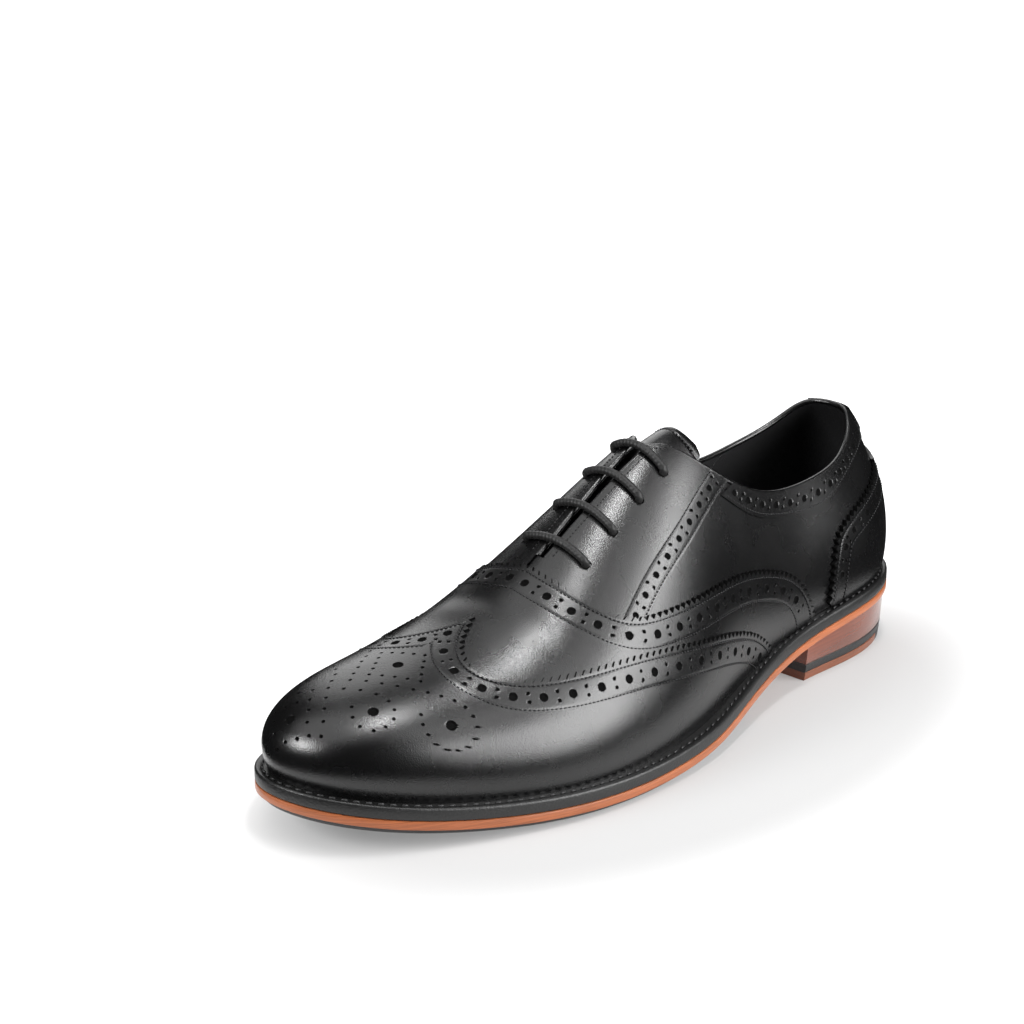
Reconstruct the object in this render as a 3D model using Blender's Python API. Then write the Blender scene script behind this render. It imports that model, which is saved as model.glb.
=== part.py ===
"""Wingtip oxford, left shoe, standing on its sole.

Tables are in millimetres: x from the heel's back to the toe, y to the lateral side, z up from the floor.
Meshes are in metres, with the origin at the middle of the footprint on the floor.
"""
import math

import bmesh
import bpy
import numpy as np

MM = 0.001
GAP = 0.3                 # clearance between pieces that lie on each other

# Sole's edge seen from above: lateral side from heel to toe, then medial side back (x, y)
SOLE_LATERAL = ((0, 0), (6, 21), (34, 37), (75, 39), (115, 46.5), (150, 57),
                (190, 60.5), (225, 55.5), (260, 42), (284, 27.5), (297, 13))
SOLE_MEDIAL = ((302, -4), (297, -20), (279, -35), (250, -44.5), (215, -48), (180, -44),
               (145, -36.5), (112, -32), (75, -31), (34, -32), (6, -19))
# Underside of the tan layer: heel seat, arch, ball and toe spring (x, z)
TREAD = ((0, 19.1), (40, 18.2), (70, 15), (95, 11.2), (120, 7.5), (150, 3.8),
         (178, 2.1), (205, 2.0), (240, 3.6), (275, 7.8), (302, 13.2))
# How far the welt stands out from the upper (x, width)
WELT_WIDTH = ((0, 3.0), (40, 3.6), (75, 3.8), (115, 6.1), (150, 7.2), (200, 6.0), (260, 6.5), (302, 6.5))
# Top line of the last from the heel over the instep to the toe (x, z)
RIDGE = ((0, 106), (40, 105), (70, 106), (100, 107.5), (120, 106), (140, 99.5), (160, 89.5),
         (183, 76), (200, 65.5), (216, 57.5), (235, 51.5), (255, 48), (275, 45.5))
# Middle of the last seen from above (x, y)
CENTRE = ((0, 0), (75, 3), (150, 6), (200, 6), (252, -1), (302, -4))
# Sections: x, lift of the wall, spread of the brow on the lateral and the medial side, lean outwards
SECTION = ((0, 0.45, 0.60, 0.60, 8), (12, 0.45, 0.40, 0.40, 8), (30, 0.45, 0.22, 0.22, 7),
           (50, 0.45, 0.28, 0.28, 6), (75, 0.43, 0.40, 0.40, 5), (100, 0.42, 0.47, 0.55, 5),
           (150, 0.42, 0.48, 0.66, 5), (185, 0.45, 0.50, 0.62, 5), (215, 0.52, 0.58, 0.60, 5),
           (255, 0.60, 0.64, 0.64, 6), (285, 0.68, 0.70, 0.70, 9), (302, 0.72, 0.72, 0.72, 10))
# Collar's height at the sections from the heel to the top of the throat (x, z)
COLLAR = ((0, 90.5), (10, 88), (20, 84), (40, 77.5), (60, 74.5), (80, 74.5), (100, 80),
          (116, 90), (125, 97), (130, 100.5), (135, 101), (140, 99.5))
# Edge of the wing cap: girth from the ridge (0) to the feather edge (1), and x
WING_EDGE = ((0, 217), (0.07, 227), (0.16, 234), (0.25, 236), (0.34, 233), (0.41, 227), (0.475, 216),
             (0.58, 191), (0.73, 151), (0.88, 112), (1.0, 97))
# Edge of the vamp over the quarters: girth and x
VAMP_EDGE = ((0, 193), (0.09, 193.5), (0.18, 193), (0.29, 191), (0.39, 187), (0.47, 181.5), (0.535, 172),
             (0.58, 160), (0.62, 146), (0.693, 113), (0.782, 86.5), (0.85, 77.5), (1.0, 69))
# Front edge of the heel counter, wide at the feather edge and a strap at the back seam: girth and x
COUNTER_EDGE = ((0.0, 5.5), (0.3, 5.5), (0.5, 5.5), (0.6, 7), (0.66, 25), (0.72, 48), (0.79, 57),
                (0.9, 60), (1.0, 61))

TAN_THICK = 3.3
WELT_THICK = 4.7
HALF_SOLE_THICK = 2.2
HALF_SOLE_BACK = 118.0
HALF_SOLE_TAPER = 30.0
HALF_SOLE_INSET = 1.0     # the forefoot rubber's edge slopes in under the tan layer
HALF_SOLE_SLOPE = 2.5
INSOLE_THICK = 5.5
WALL = 2.2                # upper leather with its lining
OVERLAY = 0.9             # vamp and counter
CAP_OVERLAY = 1.5         # wing cap, which also laps over the vamp
LAP = 1.0                 # clear strip between the vamp's solid and the wing cap's
OVERLAY_FOOT = 0.98       # girth at which the overlays end, just clear of the welt
GIRTH_MM = 75.0           # length of a section from the feather edge to the ridge, about
TOE_AXIS = 252.0          # sections fan round these two upright axes
HEEL_AXIS = 40.0
AXIS_BLEND = 9.0
TOE_POLE = 284.0          # sections past this x share their top point
THROAT_LOW = 188.0
THROAT_HIGH = 139.0
THROAT_GAP_LOW = 2.0
THROAT_GAP_HIGH = 3.5

HEEL_BREAST = 75.0
HEEL_INSET = 1.2
LIFT_TOP = 3.2
RUBBER_TOP = 6.6
CORNER_FRONT = 24.0

EYELET_X = (182.0, 167.4, 152.4, 138.2)
EYELET_LATERAL = 0.215    # girth of the eyelets
EYELET_MEDIAL = 0.15
EYELET_RADIUS = 2.0
EYELET_OUT = 4.4          # how far the punch reaches outside and inside the upper
EYELET_IN = 6.6
LACE_RADIUS = 1.5
LACE_RISE = 0.5           # clearance of a bar over the leather
LACE_SHORT = 0.03         # girth by which a bar's solid stops before its eyelets

TONGUE_LOW = 186.0
TONGUE_TOP = 117.0
TONGUE_SWEEP = 3.0        # how far the top edge falls back towards its ends
TONGUE_THICK = 2.0
TONGUE_CLEAR = 1.4
# Half girth of the tongue along its length (x, girth)
TONGUE_GIRTH = ((117, 0.22), (118, 0.27), (121, 0.30), (135, 0.32), (186, 0.31))

FINE = 4000               # samples of the sole's edge
STATIONS = 38             # sections of the upper
RISES = 11                # steps of a section
SOLE_STATIONS = 34
HALF_SOLE_STATIONS = 24
HEEL_STATIONS = 14
LIFT_STATIONS = 8
CORNER_STATIONS = 10
EYELET_SIDES = 10
TONGUE_ROWS = 12
TONGUE_COLUMNS = 15
TONGUE_EASE = 1.6         # rows lie closer together towards the tongue's top
LACE_POINTS = 11
HALVINGS = 30
SMOOTH_ANGLE = 40

BLACK_LEATHER = ((0.012, 0.012, 0.013), 0.35)
LINING = ((0.015, 0.015, 0.016), 0.7)
WELT_BLACK = ((0.014, 0.013, 0.013), 0.45)
TAN_LEATHER = ((0.52, 0.17, 0.05), 0.45)
MAHOGANY = ((0.13, 0.035, 0.016), 0.3)
RUBBER = ((0.015, 0.015, 0.015), 0.6)
LACE_BLACK = ((0.012, 0.012, 0.012), 0.6)


def spline(knots, values, closed=False):
    """Cubic spline through rows of values, with natural ends or as a closed loop.

    The second derivatives at the knots come from one linear system."""
    k = np.asarray(knots, float)
    v = np.asarray(values, float).reshape(len(k), -1)
    n = len(k)
    h = np.diff(k)
    slope = np.diff(v, axis=0) / h[:, None]
    system = np.zeros((n, n))
    right = np.zeros_like(v)
    for i in range(1, n - 1):
        system[i, i - 1:i + 2] = h[i - 1], 2 * (h[i - 1] + h[i]), h[i]
        right[i] = 6 * (slope[i] - slope[i - 1])
    system[0, 0] = 1
    system[-1, -1] = 1
    if closed:
        system[0, 0] = 2 * (h[0] + h[-1])
        system[0, 1] = h[0]
        system[0, n - 2] = h[-1]
        right[0] = 6 * (slope[0] - slope[-1])
        system[-1, 0] = -1
    bend = np.linalg.solve(system, right)

    def value(x):
        x = np.clip(np.asarray(x, float), k[0], k[-1])
        i = np.clip(np.searchsorted(k, x, side="right") - 1, 0, n - 2)
        a = (x - k[i])[..., None]
        b = (k[i + 1] - x)[..., None]
        c = h[i][..., None]
        curve = (bend[i] * b ** 3 + bend[i + 1] * a ** 3) / (6 * c)
        chord = (v[i] / c - bend[i] * c / 6) * b + (v[i + 1] / c - bend[i + 1] * c / 6) * a
        total = curve + chord
        return total[..., 0] if total.shape[-1] == 1 else total
    return value


def profile(table, column=1):
    """Smooth curve of one column of a table over its first column."""
    rows = np.array(table, float)
    return spline(rows[:, 0], rows[:, column])


tread = profile(TREAD)
welt_width = profile(WELT_WIDTH)
ridge = profile(RIDGE)
centre = profile(CENTRE)
collar = profile(COLLAR)
lift = profile(SECTION, 1)
spread_lateral = profile(SECTION, 2)
spread_medial = profile(SECTION, 3)
lean = profile(SECTION, 4)


def edge_loop():
    """Points of the sole's edge at even steps round the shoe, from the heel's back by the lateral side."""
    points = np.array(SOLE_LATERAL + SOLE_MEDIAL + SOLE_LATERAL[:1], float)
    knots = np.r_[0, np.cumsum(np.sqrt(np.linalg.norm(np.diff(points, axis=0), axis=1)))]
    fine = spline(knots, points, closed=True)(np.linspace(0, knots[-1], FINE + 1))
    run = np.r_[0, np.cumsum(np.linalg.norm(np.diff(fine, axis=0), axis=1))]
    at = np.linspace(0, run[-1], FINE, endpoint=False)
    return np.stack([np.interp(at, run, fine[:, 0]), np.interp(at, run, fine[:, 1])], -1)


EDGE = edge_loop()
ORIGIN_X = (EDGE[:, 0].min() + EDGE[:, 0].max()) / 2
ORIGIN_Y = (EDGE[:, 1].min() + EDGE[:, 1].max()) / 2


def outline(inset):
    """The sole's edge moved in, as two branches from heel to toe: x, lateral y, medial y."""
    run = np.roll(EDGE, -1, axis=0) - np.roll(EDGE, 1, axis=0)
    run /= np.linalg.norm(run, axis=1, keepdims=True)
    inward = np.stack([run[:, 1], -run[:, 0]], -1)
    loop = EDGE + inward * np.reshape(inset(EDGE[:, 0]), (-1, 1))
    heel = int(np.argmin(loop[:, 0]))
    loop = np.roll(loop, -heel, axis=0)
    toe = int(np.argmax(loop[:, 0]))
    lateral = loop[:toe + 1]
    medial = np.r_[loop[toe:], loop[:1]][::-1]
    medial_y = np.interp(lateral[:, 0], np.maximum.accumulate(medial[:, 0]), medial[:, 1])
    medial_y[0] = lateral[0, 1]
    medial_y[-1] = lateral[-1, 1]
    return lateral[:, 0], lateral[:, 1], medial_y


SIDE_X, LATERAL_Y, MEDIAL_Y = outline(welt_width)
SIDE_RUN = np.r_[0, np.cumsum(np.hypot(np.diff(SIDE_X), np.diff(LATERAL_Y)))]
SIDE_W = SIDE_RUN / SIDE_RUN[-1]


def station(x):
    """Station (0 heel, 1 toe) of the section whose base lies at x."""
    return np.interp(x, SIDE_X, SIDE_W)


def base_x(w):
    """x of the base of the section at a station."""
    return np.interp(w, SIDE_W, SIDE_X)


def spine_x(x):
    """x where a section meets the ridge: its own, but fanned round the heel's and the toe's axis."""
    toe = np.logaddexp(0, (x - TOE_AXIS) / AXIS_BLEND)
    heel = np.logaddexp(0, (HEEL_AXIS - x) / AXIS_BLEND)
    return x + AXIS_BLEND * (heel - toe)


def last(w, g):
    """Point of the last at a station and a girth (lateral feather edge 1, ridge 0, medial feather edge -1).

    Each section is a cubic Bezier curve that leans out from the feather edge, level at the ridge."""
    w, g = np.broadcast_arrays(np.asarray(w, float), np.asarray(g, float))
    x = base_x(w)
    y = np.where(g >= 0, np.interp(w, SIDE_W, LATERAL_Y), np.interp(w, SIDE_W, MEDIAL_Y))
    cx = spine_x(x)
    cy = centre(cx)
    low = tread(x) + TAN_THICK + WELT_THICK + GAP
    high = ridge(cx)
    slope = ridge(cx + 0.5) - ridge(cx - 0.5)
    reach = np.hypot(x - cx, y - cy)
    ux = (x - cx) / reach
    uy = (y - cy) / reach
    out = lean(x)
    arm = np.where(g >= 0, spread_lateral(x), spread_medial(x)) * reach
    foot = np.stack([x, y, low], -1)
    wall = np.stack([x + ux * out, y + uy * out, low + lift(x) * (high - low)], -1)
    brow = np.stack([cx + ux * arm, cy + uy * arm, high + slope * ux * arm], -1)
    crown = np.stack([cx, cy, high], -1)
    t = (1 - np.abs(g))[..., None]
    return foot * (1 - t) ** 3 + 3 * wall * t * (1 - t) ** 2 + 3 * brow * t ** 2 * (1 - t) + crown * t ** 3


def last_normal(w, g):
    """Outward normal of the last, from small steps along the station and the girth."""
    step = 0.002
    along = last(np.clip(w + step, 0, 1), g) - last(np.clip(w - step, 0, 1), g)
    round_ = last(w, np.clip(g + step, -1, 1)) - last(w, np.clip(g - step, -1, 1))
    normal = np.cross(along, round_)
    return normal / np.linalg.norm(normal, axis=-1, keepdims=True)


def girth_at(w, side, measure, target):
    """Girth at which the measure of a section's points falls to the target, found by halving."""
    low = np.zeros_like(w)
    high = np.ones_like(w)
    for _ in range(HALVINGS):
        mid = (low + high) / 2
        over = measure(last(w, side * mid)) > target
        low = np.where(over, mid, low)
        high = np.where(over, high, mid)
    return (low + high) / 2


def top_girth(w, side):
    """Girth of the upper's top edge: 0 on the closed forefoot, else the throat's edge or the collar's."""
    x = base_x(w)
    cx = spine_x(x)
    gap = np.interp(x, (THROAT_HIGH, THROAT_LOW), (THROAT_GAP_HIGH, THROAT_GAP_LOW))
    throat = girth_at(w, side, lambda p: -np.hypot(p[..., 0] - cx, p[..., 1] - centre(cx)), -gap)
    rim = girth_at(w, side, lambda p: p[..., 2], collar(x))
    top = np.where(x < THROAT_HIGH + 1, np.maximum(throat, rim), throat)
    return np.where(x > THROAT_LOW, 0.0, top)


def clear_scene():
    """Remove every object, so that the script starts from an empty scene."""
    for item in list(bpy.data.objects):
        bpy.data.objects.remove(item)


def finish_material(name, look):
    """A plain shader in the piece's colour and roughness."""
    colour, roughness = look
    material = bpy.data.materials.new(name)
    material.use_nodes = True
    shader = material.node_tree.nodes["Principled BSDF"]
    shader.inputs["Base Color"].default_value = (*colour, 1)
    shader.inputs["Roughness"].default_value = roughness
    shader.inputs["Metallic"].default_value = 0.0
    return material


def add_mesh(name, points, faces, look):
    """One closed object from points in millimetres: doubles merged, faces outwards, shaded smooth."""
    place = (np.asarray(points) - (ORIGIN_X, ORIGIN_Y, 0)) * MM
    mesh = bpy.data.meshes.new(name)
    mesh.from_pydata(place.tolist(), [], [list(map(int, face)) for face in faces])
    shape = bmesh.new()
    shape.from_mesh(mesh)
    bmesh.ops.remove_doubles(shape, verts=shape.verts, dist=0.01 * MM)
    bmesh.ops.dissolve_degenerate(shape, edges=shape.edges, dist=0.001 * MM)
    bmesh.ops.triangulate(shape, faces=shape.faces)
    bmesh.ops.recalc_face_normals(shape, faces=shape.faces)
    shape.to_mesh(mesh)
    shape.free()
    mesh.shade_smooth()
    mesh.set_sharp_from_angle(angle=math.radians(SMOOTH_ANGLE))
    mesh.materials.append(finish_material(name, look))
    item = bpy.data.objects.new(name, mesh)
    bpy.context.scene.collection.objects.link(item)
    return item


def weld(points, faces):
    """Merge points that fall together exactly, and drop faces that lose their area."""
    _, first, index = np.unique(points, axis=0, return_index=True, return_inverse=True)
    return points[first], renumber_faces(faces, index.reshape(-1))


def renumber_faces(faces, index):
    """Faces with each corner sent through an index; repeats and faces without area are dropped."""
    kept = []
    for face in faces:
        ring = list(dict.fromkeys(int(index[corner]) for corner in face))
        if len(ring) > 2:
            kept.append(ring)
    return kept


def vertex_normals(points, faces):
    """Normals at the points of a triangle mesh, weighted by area."""
    normal = np.zeros_like(points)
    for face in faces:
        a, b, c = points[face]
        normal[face] += np.cross(b - a, c - a)
    return normal / np.linalg.norm(normal, axis=1, keepdims=True)


def upper_skin():
    """Outer skin of the upper as triangles: points, normals, base x and girth of each point, faces.

    Rows of points run up from the feather edge, and the two sides share their points at the heel, at
    the toe and along the closed ridge."""
    w = np.linspace(0, 1, STATIONS + 1)
    w = np.sort(np.append(w, station(np.array([THROAT_LOW + 0.2, THROAT_HIGH]))))
    rise = np.linspace(0, 1, RISES + 1)
    tops = [top_girth(w, side) for side in (1, -1)]
    girth = np.stack([side * (1 - (1 - top[:, None]) * rise) for side, top in zip((1, -1), tops)])
    points = last(w[:, None], girth)
    index = np.arange(girth.size).reshape(girth.shape)
    index[1, 0] = index[0, 0]
    index[1, -1] = index[0, -1]
    closed = tops[0] == 0
    index[1, closed, -1] = index[0, closed, -1]
    at_pole = base_x(w) > TOE_POLE
    index[:, at_pole, -1] = index[0, np.argmax(at_pole), -1]
    quads = []
    for side, block in enumerate(index):
        low, up = block[:-1], block[1:]
        ring = [low[:, :-1], low[:, 1:], up[:, 1:], up[:, :-1]]
        if side == 1:
            ring = [ring[0], ring[3], ring[2], ring[1]]
        quads.append(np.stack(ring, -1).reshape(-1, 4))
    quads = np.concatenate(quads)
    triangles = np.concatenate([quads[:, :3], quads[:, [0, 2, 3]]])
    used, index = np.unique(triangles, return_inverse=True)
    faces = renumber_faces(index.reshape(-1, 3), np.arange(len(used)))
    points = points.reshape(-1, 3)[used]
    girths = np.abs(girth).reshape(-1)[used]
    bases = np.broadcast_to(base_x(w)[None, :, None], girth.shape).reshape(-1)[used]
    normals = vertex_normals(points, faces)
    at_feather = girths > 0.999
    normals[at_feather, 2] = 0
    normals /= np.linalg.norm(normals, axis=1, keepdims=True)
    return points, normals, bases, girths, faces


def shell(points, normals, faces, low, high):
    """Closed solid between two offsets of an open skin, with a rim along its open edges."""
    count = len(points)
    solid = np.concatenate([points + normals * high, points + normals * low])
    built = [tuple(face) for face in faces]
    built += [tuple(corner + count for corner in reversed(face)) for face in faces]
    used = {}
    for face in faces:
        for a, b in zip(face, face[1:] + face[:1]):
            used[(a, b)] = True
    for a, b in used:
        if (b, a) not in used:
            built.append((b, a, a + count, b + count))
    return solid, built


def clip(points, normals, faces, field):
    """The part of a skin where the field is positive, cut across the triangles that it crosses."""
    places = list(points)
    turns = list(normals)
    cuts = {}

    def crossing(a, b):
        key = (min(a, b), max(a, b))
        if key not in cuts:
            share = field[key[0]] / (field[key[0]] - field[key[1]])
            cuts[key] = len(places)
            places.append(points[key[0]] * (1 - share) + points[key[1]] * share)
            turns.append(normals[key[0]] * (1 - share) + normals[key[1]] * share)
        return cuts[key]

    kept = []
    for face in faces:
        ring = []
        for a, b in zip(face, face[1:] + face[:1]):
            if field[a] > 0:
                ring.append(a)
            if (field[a] > 0) != (field[b] > 0):
                ring.append(crossing(a, b))
        if len(ring) > 2:
            kept.append(ring)
    index = sorted(set(corner for ring in kept for corner in ring))
    renumber = {old: new for new, old in enumerate(index)}
    kept = [[renumber[corner] for corner in ring] for ring in kept]
    return np.array(places)[index], np.array(turns)[index], kept


def away_from_zero(field):
    """The field with values near zero pushed off it, so that a cut leaves no slivers."""
    least = 0.15
    return np.where(np.abs(field) < least, np.where(field < 0, -least, least), field)


def make_upper(skin):
    """Hollow upper, open at the collar, the throat and underneath, with eight punched eyelets."""
    points, normals, _, _, faces = skin
    upper = add_mesh("upper", *shell(points, normals, faces, -WALL, 0), BLACK_LEATHER)
    cutters = []
    for girth in (EYELET_LATERAL, -EYELET_MEDIAL):
        for x in EYELET_X:
            w = station(np.array(x))
            cutters.append((last(w, girth), last_normal(w, girth)))
    ring = EYELET_SIDES
    points = []
    faces = []
    for place, turn in cutters:
        first = np.cross(turn, (1.0, 0.0, 0.0))
        first /= np.linalg.norm(first)
        second = np.cross(turn, first)
        angle = np.arange(ring) * 2 * math.pi / ring
        circle = EYELET_RADIUS * (np.cos(angle)[:, None] * first + np.sin(angle)[:, None] * second)
        start = sum(len(block) for block in points)
        points.append(place + circle + turn * EYELET_OUT)
        points.append(place + circle - turn * EYELET_IN)
        faces.append([start + k for k in range(ring)])
        faces.append([start + ring + k for k in reversed(range(ring))])
        faces += [(start + (k + 1) % ring, start + k, start + ring + k, start + ring + (k + 1) % ring)
                  for k in range(ring)]
    punch = add_mesh("eyelet_punch", np.concatenate(points), faces, LINING)
    punch.hide_render = True
    punch.display_type = "WIRE"
    cut = upper.modifiers.new("eyelets", "BOOLEAN")
    cut.operation = "DIFFERENCE"
    cut.object = punch
    return upper


def ahead_of(table, bases, girths):
    """How far points lie in front of a line drawn on the last, in millimetres along the leather."""
    line = profile(table)
    step = 0.01
    steep = (line(girths + step) - line(girths - step)) / (2 * step * GIRTH_MM)
    return (bases - line(girths)) / np.hypot(1, steep)


def make_overlays(skin):
    """Wing cap, vamp and heel counter, cut from the upper's own skin and raised on it."""
    points, normals, bases, girths, faces = skin
    wing = ahead_of(WING_EDGE, bases, girths)
    vamp = ahead_of(VAMP_EDGE, bases, girths)
    counter = -ahead_of(COUNTER_EDGE, bases, girths)
    foot = (OVERLAY_FOOT - girths) * GIRTH_MM
    for name, field, thick in (("wing_cap", wing, CAP_OVERLAY),
                               ("vamp", np.minimum(vamp, -wing - LAP), OVERLAY),
                               ("counter", counter, OVERLAY)):
        piece = clip(points, normals, faces, away_from_zero(np.minimum(field, foot)))
        add_mesh(name, *shell(*piece, GAP, GAP + thick), BLACK_LEATHER)


def make_tongue():
    """Tongue under the throat: a sheet on the inside of the upper that comes out above the facing."""
    share = np.linspace(0, 1, TONGUE_ROWS)[:, None] ** TONGUE_EASE
    x = TONGUE_TOP + (TONGUE_LOW - TONGUE_TOP) * share
    across = np.linspace(-1, 1, TONGUE_COLUMNS)
    girth = np.interp(x, *np.array(TONGUE_GIRTH).T) * across
    w = station(x - TONGUE_SWEEP * (1 - share) * across ** 2)
    points = last(w, girth).reshape(-1, 3)
    normals = last_normal(w, girth).reshape(-1, 3)
    faces = []
    for i in range(TONGUE_ROWS - 1):
        for j in range(TONGUE_COLUMNS - 1):
            a = i * TONGUE_COLUMNS + j
            faces.append([a, a + 1, a + TONGUE_COLUMNS + 1, a + TONGUE_COLUMNS])
    top = -WALL - TONGUE_CLEAR
    return add_mesh("tongue", *shell(points, normals, faces, top - TONGUE_THICK, top), LINING)


def sections(inset, first, end, count):
    """Stations of an inset outline, close together at a round end: x, lateral y, medial y."""
    x, lateral, medial = outline(inset)
    lo = x[0] if first is None else first
    hi = x[-1] if end is None else end
    turn_from = 0 if first is None else math.pi / 2
    turn_to = math.pi if end is None else math.pi / 2
    ease = np.cos(np.linspace(turn_from, turn_to, count))
    if first is not None and end is not None:
        ease = np.linspace(1, 0, count)
    share = (ease[0] - ease) / (ease[0] - ease[-1])
    at = lo + (hi - lo) * share
    return at, np.interp(at, x, lateral), np.interp(at, x, medial)


def plate(name, look, top_rows, low_rows, top_z, low_z):
    """Solid between two outlines that run from heel to toe, with heights given over x."""
    blocks = []
    for (x, lateral, medial), height in ((top_rows, top_z), (low_rows, low_z)):
        z = height(x)
        blocks.append(np.stack([x, lateral, z], -1))
        blocks.append(np.stack([x, medial, z], -1))
    n = len(top_rows[0])
    lateral_top, medial_top, lateral_low, medial_low = (k * n for k in range(4))
    faces = []
    for i in range(n - 1):
        for a, b in ((lateral_top, medial_top), (medial_top, medial_low),
                     (medial_low, lateral_low), (lateral_low, lateral_top)):
            faces.append((a + i, b + i, b + i + 1, a + i + 1))
    for i in (0, n - 1):
        faces.append((lateral_top + i, medial_top + i, medial_low + i, lateral_low + i))
    return add_mesh(name, *weld(np.concatenate(blocks), faces), look)


def make_welt():
    """Welt: a ring of leather round the whole shoe, under the upper's wall."""
    outer = sections(lambda x: 0 * x, None, None, SOLE_STATIONS)
    inner = sections(lambda x: welt_width(x) + WALL + 2 * GAP, None, None, SOLE_STATIONS)
    loops = []
    for x, lateral, medial in (outer, inner):
        loops.append((np.r_[x, x[-2:0:-1]], np.r_[lateral, medial[-2:0:-1]]))
    blocks = []
    for x, y in loops:
        for rise in (TAN_THICK + WELT_THICK, TAN_THICK + GAP):
            blocks.append(np.stack([x, y, tread(x) + rise], -1))
    n = len(loops[0][0])
    faces = []
    for i in range(n):
        k = (i + 1) % n
        for a, b in ((0, 2 * n), (2 * n, 3 * n), (3 * n, n), (n, 0)):
            faces.append((a + i, b + i, b + k, a + k))
    return add_mesh("welt", np.concatenate(blocks), faces, WELT_BLACK)


def make_sole():
    """Tan layer, insole and the thin forefoot rubber with its flat spot under the ball."""
    whole = sections(lambda x: 0 * x, None, None, SOLE_STATIONS)
    plate("midsole", TAN_LEATHER, whole, whole, lambda x: tread(x) + TAN_THICK, tread)
    inside = sections(lambda x: welt_width(x) + WALL + 4 * GAP, None, None, SOLE_STATIONS)
    floor = TAN_THICK + GAP
    plate("insole", LINING, inside, inside,
          lambda x: tread(x) + floor + INSOLE_THICK, lambda x: tread(x) + floor)
    front = sections(lambda x: 0 * x + HALF_SOLE_INSET, HALF_SOLE_BACK, None, HALF_SOLE_STATIONS)
    under = sections(lambda x: 0 * x + HALF_SOLE_INSET + HALF_SOLE_SLOPE, HALF_SOLE_BACK, None,
                     HALF_SOLE_STATIONS)

    def rubber_low(x):
        thick = np.interp(x, (HALF_SOLE_BACK, HALF_SOLE_BACK + HALF_SOLE_TAPER), (3 * GAP, HALF_SOLE_THICK))
        return np.maximum(tread(x) - thick, 0)

    plate("half_sole", RUBBER, front, under, lambda x: tread(x) - GAP, rubber_low)


def make_heel():
    """Heel in its layers: brown stack, black layer, tan lift and the black rear corner of the lift."""
    def level(z):
        return lambda x: 0 * x + z

    def inset(z):
        return lambda x: 0 * x + HEEL_INSET * (1 + (RUBBER_TOP * 2 - z) / (RUBBER_TOP * 2))

    rows = {z: sections(inset(z), None, HEEL_BREAST, HEEL_STATIONS)
            for z in (RUBBER_TOP * 2, RUBBER_TOP, LIFT_TOP)}
    plate("heel_stack", MAHOGANY, rows[RUBBER_TOP * 2], rows[RUBBER_TOP],
          lambda x: tread(x) - GAP, level(RUBBER_TOP + GAP))
    plate("heel_rubber", RUBBER, rows[RUBBER_TOP], rows[LIFT_TOP], level(RUBBER_TOP), level(LIFT_TOP + GAP))
    front = sections(inset(LIFT_TOP), CORNER_FRONT + GAP, HEEL_BREAST, LIFT_STATIONS)
    front_low = sections(inset(0), CORNER_FRONT + GAP, HEEL_BREAST, LIFT_STATIONS)
    plate("heel_lift", TAN_LEATHER, front, front_low, level(LIFT_TOP), level(0))
    rear = sections(inset(LIFT_TOP), None, CORNER_FRONT, CORNER_STATIONS)
    rear_low = sections(inset(0), None, CORNER_FRONT, CORNER_STATIONS)
    plate("heel_corner", RUBBER, rear, rear_low, level(LIFT_TOP), level(0))


def make_laces():
    """Four straight bars of round lace over the throat, from eyelet to eyelet."""
    girth = np.linspace(EYELET_LATERAL - LACE_SHORT, LACE_SHORT - EYELET_MEDIAL, LACE_POINTS)
    for number, x in enumerate(EYELET_X, 1):
        w = np.full(girth.shape, float(station(x)))
        path = last(w, girth) + last_normal(w, girth) * (LACE_RADIUS + LACE_RISE)
        curve = bpy.data.curves.new(f"lace_bar_{number}", "CURVE")
        curve.dimensions = "3D"
        curve.bevel_depth = LACE_RADIUS * MM
        curve.bevel_resolution = 2
        curve.use_fill_caps = True
        run = curve.splines.new("POLY")
        run.points.add(len(path) - 1)
        for point, place in zip(run.points, path):
            point.co = (*((place - (ORIGIN_X, ORIGIN_Y, 0)) * MM), 1)
        curve.materials.append(finish_material(f"lace_bar_{number}", LACE_BLACK))
        item = bpy.data.objects.new(f"lace_bar_{number}", curve)
        bpy.context.scene.collection.objects.link(item)


def main():
    """Build every piece of the shoe."""
    clear_scene()
    skin = upper_skin()
    make_upper(skin)
    make_overlays(skin)
    make_tongue()
    make_welt()
    make_sole()
    make_heel()
    make_laces()


main()
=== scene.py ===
"""Wingtip oxford in black leather, left shoe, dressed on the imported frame.

Tables are in millimetres: x from the heel's back to the toe, y to the lateral side, z up from the floor.
The last is a chart: station (0 heel, 1 toe) and girth (1 lateral feather edge, 0 ridge, -1 medial one).
Leather pieces are grids on that chart, raised along its normal. Soles are profiles carried round the
sole's edge.
"""
import math

import bmesh
import bpy
import mathutils
import numpy as np
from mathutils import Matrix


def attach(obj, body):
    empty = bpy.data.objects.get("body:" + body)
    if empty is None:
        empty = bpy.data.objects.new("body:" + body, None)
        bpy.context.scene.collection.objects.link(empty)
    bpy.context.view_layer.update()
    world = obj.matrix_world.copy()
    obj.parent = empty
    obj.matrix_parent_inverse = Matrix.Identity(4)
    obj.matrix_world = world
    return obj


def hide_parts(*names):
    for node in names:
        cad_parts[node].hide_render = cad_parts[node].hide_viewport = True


bl_info = {
    "name": "Wingtip oxford",
    "version": (1, 0, 0),
    "blender": (4, 5, 0),
    "location": "View3D > Sidebar > Oxford",
    "description": "Leather, broguing, stitches, laces and soles of a wingtip oxford on its frame",
    "category": "Add Mesh",
}

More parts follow.
